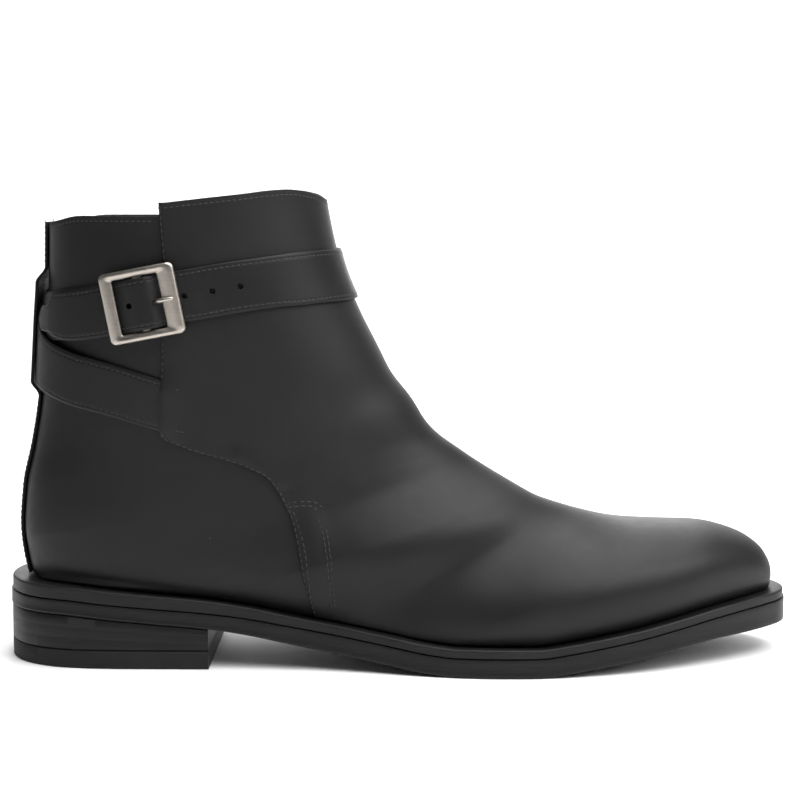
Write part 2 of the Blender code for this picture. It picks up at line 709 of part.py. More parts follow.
def strap(name, line, offset, turns, look, ends=None):
    """Strap through stations at the turns, three points across."""
    rings = []
    for turn in turns:
        middle, reach = strap_height(line, turn), strap_reach(line, turn)
        low, high = (-1.0, 1.0) if ends is None else ends(turn)
        under = offset(turn)
        square = ease((0.30 - abs(turn - BUCKLE_TURN)) / 0.10)
        if square > 0.0:
            reach = reach * (1 - square * math.sin(BUCKLE_TILT) ** 2)
        rises = [reach * (low + (high - low) * k / 2) for k in range(3)]

        def across(rise, height):
            if square == 0.0:
                return shaft_point(turn, middle + rise, height)
            x = strap_x(turn) - square * rise * math.tan(BUCKLE_TILT)
            return shaft_at(x, middle + rise, height)

        rings.append([across(rise, under) for rise in rises]
                     + [across(rise, under + STRAP_THICK) for rise in reversed(rises)])
    return loft(name, rings, look)


def stations(start, stop, step, extra=()):
    """Turns from start to stop, with some extra ones between."""
    count = max(int(round((stop - start) / step)), 1)
    even = [start + (stop - start) * i / count for i in range(count + 1)]
    kept = [t for t in even[1:-1] if all(abs(t - e) > step * 0.35 for e in extra)]
    return sorted([start, stop] + kept + [e for e in extra if start < e < stop])


def seam_turn():
    """Turn of the side seam at the height where the straps leave it."""
    z = strap_height(wrap_middle, WRAP_LINE[0][0])
    row = row_at_height(math.pi / 2, -1, z)
    return seam_angle(row) / math.pi


def shaft_at(x, z, offset):
    """Point on the outer side of the shaft at a forward position and a height."""
    angle = math.pi / 2
    for _ in range(6):
        row = row_at_height(angle, -1, z, offset)
        low, _, high, _, _, _, front, back, _ = section(row, offset)
        share = min(max(2 * (x - low) / (high - low) - 1, -1.0), 1.0)
        power = front if share > 0 else back
        angle = math.acos(math.copysign(abs(share) ** (1 / power), share))
    return upper_point(row, angle, -1, offset)


def buckle_point(fore, up, offset, on_line=False):
    """Point on the shaft, fore along the strap from the buckle's middle, up across it."""
    x = BUCKLE_X + fore * math.cos(BUCKLE_TILT) - up * math.sin(BUCKLE_TILT)
    if on_line:
        z = strap_height(wrap_middle, buckle_turn(fore)) + up * math.cos(BUCKLE_TILT)
    else:
        z = (strap_height(wrap_middle, BUCKLE_TURN) + fore * math.sin(BUCKLE_TILT)
             + up * math.cos(BUCKLE_TILT))
    return shaft_at(x, z, offset)


def rounded(rear, fore, half, radius, sides_count=4):
    """Rounded rectangle in the strap's plane, as (fore, up) points."""
    corners = ((fore, half, 0), (rear, half, 90), (rear, -half, 180), (fore, -half, 270))
    loop = []
    for n, (x, y, start) in enumerate(corners):
        cx = x - math.copysign(radius, x - (rear + fore) / 2)
        cy = y - math.copysign(radius, y)
        for k in range(4):
            a = math.radians(start + 30 * k)
            loop.append((cx + radius * math.cos(a), cy + radius * math.sin(a)))
        following = corners[(n + 1) % 4]
        nx = following[0] - math.copysign(radius, following[0] - (rear + fore) / 2)
        ny = following[1] - math.copysign(radius, following[1])
        a = math.radians(start + 90)
        end = (nx + radius * math.cos(a), ny + radius * math.sin(a))
        begin = loop[-1]
        for k in range(1, sides_count):
            t = k / sides_count
            loop.append((begin[0] + (end[0] - begin[0]) * t, begin[1] + (end[1] - begin[1]) * t))
    return loop


def block(name, rear, fore, low, high, under, top, look, cuts=4, on_line=False):
    """Solid over a rectangle in the strap's plane, between two offsets."""
    rings = []
    for i in range(cuts + 1):
        up = low + (high - low) * i / cuts
        rings.append([buckle_point(rear, up, under, on_line), buckle_point(fore, up, under, on_line),
                      buckle_point(fore, up, top, on_line), buckle_point(rear, up, top, on_line)])
    return loft(name, rings, look)


def make_straps(looks):
    """Back stay, both straps and the buckle."""
    seam = seam_turn()
    reach = BUCKLE_LENGTH / 2
    around = tuple(buckle_turn(fore) for fore in (
        reach, reach - BUCKLE_FORE, (reach - BUCKLE_FORE + BAR_WIDTH / 2) / 2,
        BAR_WIDTH / 2 + 3 * GAP, -BAR_WIDTH / 2 - 3 * GAP, -(reach - BUCKLE_REAR + BAR_WIDTH / 2) / 2,
        -reach + BUCKLE_REAR, -reach))
    tips = tuple(WRAP_END - row[0] for row in TIP[1:])
    wrap = strap("wrap_strap", wrap_middle, wrap_offset,
                 stations(seam + WRAP_START, WRAP_END, 0.033, around + tips),
                 looks["leather"], lambda turn: (tip_low(WRAP_END - turn), tip_high(WRAP_END - turn)))
    strap("buckle_strap", buckle_middle, lambda turn: GAP,
          stations(BUCKLE_TURN - 2.0 - 0.004, 2.0 - seam - WRAP_START, 0.033), looks["leather"])

    top = GAP + 2 * LAYER
    window = STRAP_WIDTH / 2 + 2 * GAP
    rear, fore = -BUCKLE_LENGTH / 2, BUCKLE_LENGTH / 2
    half = window + BUCKLE_RAIL
    bevel = 0.35 * BUCKLE_THICK
    outer = rounded(rear, fore, half, BUCKLE_ROUND)
    crest = rounded(rear + BUCKLE_REAR / 2, fore - BUCKLE_FORE / 2, half - BUCKLE_RAIL / 2,
                    BUCKLE_ROUND * 0.7)
    inner = rounded(rear + BUCKLE_REAR, fore - BUCKLE_FORE, window, BUCKLE_ROUND * 0.3)
    rings = [[buckle_point(*outer[k], top), buckle_point(*outer[k], top + BUCKLE_THICK - bevel),
              buckle_point(*crest[k], top + BUCKLE_THICK),
              buckle_point(*inner[k], top + BUCKLE_THICK - bevel), buckle_point(*inner[k], top)]
             for k in range(len(outer))]
    frame = loft("buckle_frame", rings, looks["metal"], ring=True)
    bar_top = GAP + LAYER + BAR_THICK
    bar = block("bar_guide", -BAR_WIDTH / 2, BAR_WIDTH / 2, -half + BUCKLE_RAIL * 0.3,
                half - BUCKLE_RAIL * 0.3, GAP + LAYER, bar_top, looks["metal"])
    join(frame, bar)

    holes = []
    for n in range(HOLE_COUNT):
        middle = HOLE_FIRST + n * HOLE_PITCH
        reach = HOLE_WIDTH / 2
        if n == 1:
            holes.append(block("slot_guide", BAR_WIDTH / 2 + 0.0011, BUCKLE_LENGTH / 2 - 0.0068,
                               -PRONG_WIDTH / 2 - 2 * GAP, PRONG_WIDTH / 2 + 2 * GAP, GAP * 2,
                               top + BUCKLE_THICK * 2, looks["leather"], 1))
            continue
        rings = []
        for offset in (GAP, top + 4 * GAP + BAR_THICK):
            rings.append([buckle_point(middle + reach * math.cos(a), reach * math.sin(a), offset, True)
                          for a in (math.radians(22.5 + 45 * k) for k in range(8))])
        holes.append(loft("hole_guide_%d" % n, rings, looks["leather"]))
    cut(wrap, holes)

    radius = PRONG_WIDTH / 2
    rest = top + BUCKLE_THICK + GAP + radius
    under = bar_top - radius - 0.0006
    bar_edge, fore_bar = BAR_WIDTH / 2, fore - BUCKLE_FORE
    path = ((bar_edge + GAP + radius, under), (bar_edge + 0.0028, under + 0.0004),
            (fore_bar - 0.0021, (under + rest) / 2 - 0.0002), (fore_bar - 0.0010, rest - 0.0006),
            (fore_bar + 0.0006, rest), (fore_bar + BUCKLE_FORE * 0.72, rest))
    rings = []
    for i, (x, z) in enumerate(path):
        x0, z0 = path[max(i - 1, 0)]
        x1, z1 = path[min(i + 1, len(path) - 1)]
        size = math.hypot(x1 - x0, z1 - z0)
        nx, nz = -(z1 - z0) / size, (x1 - x0) / size
        rings.append([buckle_point(x + radius * math.sin(a) * nx, radius * math.cos(a),
                                   z + radius * math.sin(a) * nz)
                      for a in (math.radians(45 * k) for k in range(8))])
    loft("buckle_prong", rings, looks["metal"])

    crossing_low = strap_height(wrap_middle, 1.0) - 1.98 * STRAP_WIDTH / 2
    crossing_high = strap_height(wrap_middle, 1.0) + 1.98 * STRAP_WIDTH / 2
    levels = [HEEL_SEAT + SHAFT_HEIGHT * s for s in (0.004, 0.02, 0.06, 0.11, 0.17, 0.23, 0.29, 0.35,
                                                     0.41, 0.45)]
    levels += [crossing_low - 0.006, crossing_low - 0.0035, crossing_low - 0.001, crossing_low + 0.004,
               strap_height(wrap_middle, 1.0), crossing_high - 0.004, crossing_high + 0.001,
               crossing_high + 0.0035, crossing_high + 0.006]
    levels += [HEEL_SEAT + SHAFT_HEIGHT * s for s in (0.83, 0.87)] + [HEEL_SEAT - GAP + COLLAR_BACK]
    rings = []
    for z in sorted(levels):
        share = (z - HEEL_SEAT) / COLLAR_BACK
        reach = (STAY_WIDTH + STAY_FLARE * (1 - share)) / 2
        over = min(ease((z - crossing_low + 0.006) / 0.006), ease((crossing_high + 0.006 - z) / 0.006))
        under = GAP + 2 * LAYER * over
        half, power = section(row_at_height(math.pi, -1, z), 0.0)[5:8:2]
        across = []
        for k in (-1.0, -0.5, 0.0, 0.5, 1.0):
            spot = abs(k) * reach / half
            angle = math.pi - math.asin(spot ** (1 / power))
            across.append((angle, -1 if k < 0 else 1))
        row = row_at_height(math.pi, -1, z)
        rings.append([upper_point(row, angle, side, under) for angle, side in across]
                     + [upper_point(row, angle, side, under + STAY_THICK)
                        for angle, side in reversed(across)])
    loft("back_stay", rings, looks["leather"])


def main():
    """Build every piece."""
    clear_scene()
    looks = {
        "leather": material("leather", BLACK, 0.42),
        "upper": material("upper_leather", BLACK, 0.40),
        "sole": material("sole_edge", SOLE_BLACK, 0.48),
        "stack": material("heel_stack", SOLE_BLACK, 0.50),
        "rubber": material("rubber", (0.02, 0.02, 0.02, 1.0), 0.7),
        "lining": material("lining", (0.03, 0.028, 0.026, 1.0), 0.75),
        "metal": material("buckle_metal", (0.55, 0.52, 0.48, 1.0), 0.3, 1.0),
    }
    make_sole(looks)
    make_upper(looks["upper"])
    make_straps(looks)


main()
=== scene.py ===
"""Looks of a leather ankle boot with a wrap strap and a buckle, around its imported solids.

Metres, +X to the toe, -Y to the outer side, +Z up, origin under the middle of the heel.
The surfaces follow the solids' sizes and nearly the same tables, with a smoother ridge, and
add the sheets, edges, stitches and finishes that the solids leave out.
"""
import logging
import math
from dataclasses import dataclass, field
from enum import Enum
from functools import lru_cache

import bmesh
import bpy
import numpy as np
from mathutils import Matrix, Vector, noise
from mathutils.kdtree import KDTree


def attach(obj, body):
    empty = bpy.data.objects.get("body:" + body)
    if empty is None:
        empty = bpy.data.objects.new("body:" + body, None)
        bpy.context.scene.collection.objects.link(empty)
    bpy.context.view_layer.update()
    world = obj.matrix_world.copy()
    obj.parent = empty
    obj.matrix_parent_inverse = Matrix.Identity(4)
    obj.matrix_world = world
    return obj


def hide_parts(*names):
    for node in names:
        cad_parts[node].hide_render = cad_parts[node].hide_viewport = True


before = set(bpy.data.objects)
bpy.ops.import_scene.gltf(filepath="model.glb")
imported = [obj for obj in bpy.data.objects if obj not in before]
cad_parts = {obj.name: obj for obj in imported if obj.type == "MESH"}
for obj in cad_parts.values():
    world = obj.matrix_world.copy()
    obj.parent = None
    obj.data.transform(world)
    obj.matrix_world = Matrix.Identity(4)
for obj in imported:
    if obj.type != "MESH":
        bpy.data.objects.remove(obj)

log = logging.getLogger("boot")


@dataclass(frozen=True)
class Sizes:
    """Driving sizes of the boot in metres, and its tables as shares of them."""

    sole_length: float = 0.304
    ball_width: float = 0.104
    heel_width: float = 0.070
    heel_length: float = 0.080
    top_lift: float = 0.0069
    stack_rise: float = 0.0132
    toe_spring: float = 0.0134
    sole_thick: float = 0.0107
    welt_thick: float = 0.0034
    welt_set: float = 0.0006
    welt_lap: float = 0.0008
    margin: float = 0.0065
    edge_round: float = 0.0008
    shaft_height: float = 0.1483
    ankle_width: float = 0.078
    toe_rise: float = 0.035
    bulge: float = 0.085
    blend: float = 0.003
    wall: float = 0.0022
    panel: float = 0.0012
    collar_back: float = 0.1361
    collar_side: float = 0.1387
    collar_step: float = 0.1435
    collar_front: float = 0.1445
    strap_width: float = 0.0190
    strap_thick: float = 0.0014
    stay_width: float = 0.019
    stay_flare: float = 0.003
    stay_thick: float = 0.0012
    buckle_length: float = 0.0285
    buckle_rail: float = 0.0031
    buckle_rear: float = 0.0048
    buckle_fore: float = 0.0065
    buckle_thick: float = 0.0019
    buckle_round: float = 0.0022
    bar_width: float = 0.0032
    bar_thick: float = 0.0022
    prong_width: float = 0.0018
    hole_pitch: float = 0.0103
    hole_width: float = 0.0022
    hole_count: int = 5
    hole_first: float = -0.0046
    gap: float = 0.0003
    buckle_turn: float = 2.580
    tuck: float = 0.030
    wrap_end: float = 2.905

    @property
    def rear(self) -> float:
        """Rear end of the sole."""
        return -self.heel_length / 2

    @property
    def heel_rise(self) -> float:
        """Height of the heel under the outsole's rear."""
        return self.top_lift + self.stack_rise

    @property
    def layer(self) -> float:
        """One strap with its clearance."""
        return self.strap_thick + self.gap


S = Sizes()

# Outsole's outline: x (share of sole_length), y (share of heel_width, share of ball_width).
OUTLINE = (
    (0.000, 0.000, 0.000), (0.008, -0.186, 0.000), (0.033, -0.350, 0.000),
    (0.076, -0.457, 0.000), (0.132, -0.497, 0.000), (0.197, -0.506, 0.000),
    (0.263, -0.511, 0.000), (0.329, -0.400, -0.081), (0.395, -0.220, -0.213),
    (0.461, -0.080, -0.342), (0.526, 0.000, -0.442), (0.592, 0.000, -0.474),
    (0.651, 0.000, -0.479), (0.711, 0.000, -0.462), (0.776, 0.000, -0.419),
    (0.836, 0.000, -0.358), (0.888, 0.000, -0.284), (0.931, 0.000, -0.207),
    (0.966, 0.000, -0.130), (0.991, 0.000, -0.048), (1.000, 0.000, 0.058),
    (0.991, 0.000, 0.160), (0.966, 0.000, 0.243), (0.928, 0.000, 0.315),
    (0.875, 0.000, 0.388), (0.816, 0.000, 0.447), (0.757, 0.000, 0.490),
    (0.697, 0.000, 0.516), (0.645, 0.000, 0.521), (0.586, 0.000, 0.500),
    (0.526, 0.000, 0.452), (0.467, 0.080, 0.334), (0.408, 0.200, 0.192),
    (0.349, 0.330, 0.068), (0.289, 0.428, 0.000), (0.230, 0.457, 0.000),
    (0.171, 0.486, 0.000), (0.115, 0.490, 0.000), (0.066, 0.447, 0.000),
    (0.030, 0.343, 0.000), (0.007, 0.179, 0.000),
)
# Sole from the side: x, underside (heel_rise, toe_spring), welt_thick, margin.
PROFILE = (
    (0.000, 1.02, 0.00, 1.50, 1.46), (0.079, 1.01, 0.00, 1.50, 1.06),
    (0.132, 0.94, 0.00, 1.50, 0.97), (0.197, 0.85, 0.00, 1.45, 0.97),
    (0.263, 0.76, 0.00, 1.40, 0.97), (0.309, 0.66, 0.00, 1.30, 0.97),
    (0.368, 0.48, 0.00, 1.15, 1.00), (0.434, 0.30, 0.00, 1.05, 1.04),
    (0.490, 0.155, 0.00, 1.00, 1.06), (0.533, 0.05, 0.00, 1.00, 1.06),
    (0.572, 0.00, 0.00, 1.00, 1.06), (0.668, 0.00, 0.00, 1.00, 1.06),
    (0.707, 0.00, 0.10, 1.00, 1.07), (0.747, 0.00, 0.23, 1.00, 1.08),
    (0.796, 0.00, 0.40, 1.00, 1.09), (0.849, 0.00, 0.62, 1.00, 1.10),
    (0.905, 0.00, 0.83, 1.00, 1.12), (0.964, 0.00, 0.96, 1.00, 1.14),
    (1.000, 0.00, 1.00, 1.00, 1.14),
)
# Sections of the upper, collar to heel feather, then to the toe: place of the lower point,
# its height, ridge x, ridge height (shaft, toe), half width, fullness at ridge and foot.
BACK_ROWS = (
    (0.0273, 1.045, 0.3990, 1.1280, 0.000, 0.500, 2.15, 2.20),
    (0.0266, 0.916, 0.4036, 1.0590, 0.000, 0.500, 2.15, 2.20),
    (0.0247, 0.775, 0.4200, 0.9070, 0.000, 0.506, 2.15, 2.20),
    (0.0207, 0.667, 0.4460, 0.7820, 0.000, 0.506, 2.10, 2.20),
    (0.0138, 0.471, 0.4967, 0.6120, 0.000, 0.494, 2.00, 2.30),
    (0.0040, 0.347, 0.5300, 0.5257, 0.000, 0.481, 1.90, 2.42),
    (-0.0072, 0.240, 0.5500, 0.4893, 0.000, 0.475, 1.85, 2.56),
    (-0.0108, 0.133, 0.5640, 0.4688, 0.000, 0.474, 1.85, 2.72),
    (-0.0052, 0.036, 0.5745, 0.4532, 0.000, 0.472, 1.85, 2.80),
    (0.0000, 0.000, 0.5850, 0.4373, 0.000, 0.470, 1.85, 2.80),
)
SEAT_ROWS = (
    (0.1060, 0.000, 0.6090, 0.3000, 0.443, 0.470, 1.85, 2.80),
    (0.2390, 0.000, 0.6420, 0.2000, 0.711, 0.465, 1.85, 2.50),
    (0.3680, 0.000, 0.6820, 0.1000, 0.953, 0.440, 1.90, 2.30),
    (0.4890, 0.000, 0.7270, 0.0300, 1.041, 0.400, 2.00, 2.20),
    (0.6290, 0.000, 0.7770, 0.0000, 0.994, 0.350, 2.10, 2.10),
    (0.7510, 0.000, 0.8360, 0.0000, 0.864, 0.300, 2.20, 2.00),
    (0.8550, 0.000, 0.8997, 0.0000, 0.740, 0.200, 2.30, 2.00),
    (0.9420, 0.000, 0.9480, 0.0000, 0.551, 0.080, 2.30, 2.00),
    (0.9800, 0.000, 0.9690, 0.0000, 0.377, 0.020, 2.20, 2.00),
    (0.9960, 0.000, 0.9763, 0.0000, 0.211, 0.000, 2.10, 2.00),
    (1.0000, 0.000, 0.9757, 0.0000, 0.000, 0.000, 2.00, 2.00),
)
# Side seam: height above the heel seat (share of shaft_height), x (share of sole_length).
SEAM = (
    (-0.060, 0.392), (0.025, 0.381), (0.122, 0.373), (0.174, 0.367), (0.215, 0.358),
    (0.248, 0.349), (0.281, 0.336), (0.312, 0.307), (0.360, 0.235), (0.388, 0.2105),
    (0.430, 0.2105), (0.960, 0.2190), (1.060, 0.2195),
)
# Stitch rows of the tab ahead of the seam's foot, as shares of sole_length and shaft_height.
TAB_ROWS = (
    ((0.3635, 0.4292), (0.3777, 0.4310), (0.3935, 0.4289), (0.4008, 0.4222), (0.4044, 0.4107),
     (0.4094, 0.3656), (0.4127, 0.3252), (0.4158, 0.2712), (0.4180, 0.2158), (0.4200, 0.1700)),
    ((0.3650, 0.4178), (0.3777, 0.4196), (0.3898, 0.4190), (0.3947, 0.4151), (0.3971, 0.4074),
     (0.4035, 0.3655), (0.4080, 0.3251), (0.4115, 0.2700), (0.4139, 0.2158), (0.4160, 0.1700)),
    ((0.3700, 0.4037), (0.3760, 0.3687), (0.3812, 0.3322), (0.3849, 0.2930), (0.3872, 0.2528),
     (0.3892, 0.2154), (0.3909, 0.1787)),
)
# Strap lines: turn from the front over the outer side, height (share of shaft_height).
WRAP_LINE = (
    (0.54, 0.451), (0.66, 0.500), (0.77, 0.530), (0.887, 0.566), (1.00, 0.634),
    (1.113, 0.694), (1.25, 0.724), (1.43, 0.750), (1.62, 0.768), (1.80, 0.780),
    (2.00, 0.784), (2.20, 0.780), (2.38, 0.762), (2.50, 0.738), (2.58, 0.718),
    (2.66, 0.701), (2.72, 0.690), (2.80, 0.681), (2.92, 0.672),
)
WRAP_LIFT = (
    (0.54, 0.0, 0.0), (0.63, 0.0, 0.0), (0.75, 1.0, 0.0), (1.25, 1.0, 0.0),
    (1.335, 0.1, 0.15), (1.425, 0.0, 1.0), (2.00, 0.0, 1.0), (2.46, 0.0, 1.0),
    (2.500, 1.0, 0.0), (2.95, 1.0, 0.0),
)
TIP = ((0.000, -0.10, -0.02), (0.012, -0.42, 0.30), (0.035, -0.62, 0.62),
       (0.065, -0.80, 0.98), (0.105, -0.96, 1.00), (0.140, -1.00, 1.00))
BUCKLE_LINE = (
    (0.575, 0.714), (0.66, 0.701), (0.72, 0.692), (0.80, 0.684), (0.887, 0.674),
    (1.00, 0.634), (1.113, 0.566), (1.23, 0.530), (1.34, 0.500), (1.46, 0.451),
)


class Side(Enum):
    """Side of the foot, with the sign of its y."""

    OUTER = -1
    INNER = 1


class Slot(Enum):
    """Material slots of the record."""

    UPPER = "upper_leather"
    STRAP = "strap_leather"
    SOLE = "sole_leather"
    RUBBER = "heel_rubber"
    METAL = "buckle_metal"
    LINING = "lining"


class Curve:
    """Smooth curve through points that never overshoots them."""

    def __init__(self, points: tuple) -> None:
        """Set up the slopes through (x, y) points."""
        self.x = np.array([p[0] for p in points], dtype=float)
        self.y = np.array([p[1] for p in points], dtype=float)
        self.step = np.diff(self.x)
        slope = np.diff(self.y) / self.step
        self.slope = np.zeros(len(self.x))
        self.slope[0], self.slope[-1] = slope[0], slope[-1]
        for i in range(1, len(self.x) - 1):
            if slope[i - 1] * slope[i] > 0:
                before = 2 * self.step[i] + self.step[i - 1]
                after = self.step[i] + 2 * self.step[i - 1]
                self.slope[i] = (before + after) / (before / slope[i - 1] + after / slope[i])

    def __call__(self, x: np.ndarray) -> np.ndarray:
        """Height of the curve at x."""
        i = np.clip(np.searchsorted(self.x, x) - 1, 0, len(self.step) - 1)
        t = np.clip((x - self.x[i]) / self.step[i], 0.0, 1.0)
        start, end = self.y[i], self.y[i + 1]
        bend = self.slope[i] * t * (1 - t) ** 2 - self.slope[i + 1] * t * t * (1 - t)
        return start * (1 + 2 * t) * (1 - t) ** 2 + end * t * t * (3 - 2 * t) + self.step[i] * bend


def curves(table: tuple) -> list[Curve]:
    """One curve for each column of a table, over its first column."""
    return [Curve([(row[0], row[k]) for row in table]) for k in range(1, len(table[0]))]


def ease(t: np.ndarray) -> np.ndarray:
    """Soft step from 0 to 1."""
    t = np.clip(t, 0.0, 1.0)
    return t * t * (3 - 2 * t)


def solve(function, low: np.ndarray, high: np.ndarray, rounds: int = 24) -> np.ndarray:
    """Roots of a function of arrays that changes sign between low and high.

    Args:
        function: takes and returns an array.
        low: lower ends.
        high: upper ends.
        rounds: halvings of the interval.

    Returns:
        The roots.
    """
    low, high = np.array(low, dtype=float), np.array(high, dtype=float)
    rising = function(high) > function(low)
    for _ in range(rounds):
        middle = (low + high) / 2
        above = (function(middle) > 0) == rising
        high = np.where(above, middle, high)
        low = np.where(above, low, middle)
    return (low + high) / 2


def unit(vectors: np.ndarray) -> np.ndarray:
    """Vectors of length one."""
    size = np.linalg.norm(vectors, axis=-1, keepdims=True)
    return vectors / np.maximum(size, 1e-12)


class SoleForm:
    """Outline and side profile of the sole."""

    def __init__(self) -> None:
        """Work out the outline's fine loop and its normals."""
        self.heel, self.toe, self.welt_share, self.inset_share = curves(PROFILE)
        knots = np.array([(S.rear + x * S.sole_length, h * S.heel_width + b * S.ball_width)
                          for x, h, b in OUTLINE])
        t = np.linspace(0, 1, 16, endpoint=False)[:, None]
        parts = []
        for i in range(len(knots)):
            a, b, c, d = (knots[(i + k - 1) % len(knots)] for k in range(4))
            parts.append(0.5 * (2 * b + (c - a) * t + (2 * a - 5 * b + 4 * c - d) * t * t
                                + (3 * b - a - 3 * c + d) * t ** 3))
        self.loop = np.vstack(parts)
        tangent = np.roll(self.loop, -1, axis=0) - np.roll(self.loop, 1, axis=0)
        self.normal = unit(np.column_stack((tangent[:, 1], -tangent[:, 0])))

    def share(self, x: np.ndarray) -> np.ndarray:
        """Share of the sole's length at x."""
        return (x - S.rear) / S.sole_length

    def underside(self, x: np.ndarray) -> np.ndarray:
        """Height of the outsole's tread side."""
        return self.heel(self.share(x)) * S.heel_rise + self.toe(self.share(x)) * S.toe_spring

    def seat(self, x: np.ndarray) -> np.ndarray:
        """Height of the welt's top."""
        return self.underside(x) + S.sole_thick

    def welt_under(self, x: np.ndarray) -> np.ndarray:
        """Height of the welt's lower face."""
        return self.seat(x) - S.welt_thick * self.welt_share(self.share(x))

    @lru_cache(maxsize=None)
    def inset(self, kind: str, amount: float) -> np.ndarray:
        """Outline moved inwards: kind "edge" by an amount, kind "upper" to the leather less it."""
        depth = np.full(len(self.loop), amount)
        if kind == "upper":
            depth = S.margin * self.inset_share(self.share(self.loop[:, 0])) - amount
        return self.loop - self.normal * depth[:, None]

    @lru_cache(maxsize=None)
    def sides(self, kind: str, amount: float) -> tuple:
        """Ends of an inset outline, and its outer and inner side as tables over x."""
        loop = self.inset(kind, amount)
        rear, toe = int(np.argmin(loop[:, 0])), int(np.argmax(loop[:, 0]))
        order = np.roll(loop, -rear, axis=0)
        split = (toe - rear) % len(loop)
        inner = np.vstack((order[split:], order[:1]))[::-1]
        return loop[rear, 0], loop[toe, 0], order[:split + 1], inner

    def edge(self, kind: str, amount: float, x: np.ndarray, side: Side) -> np.ndarray:
        """Edge of an inset outline at x."""
        table = self.sides(kind, amount)[2 if side is Side.OUTER else 3]
        return np.interp(x, table[:, 0], table[:, 1])


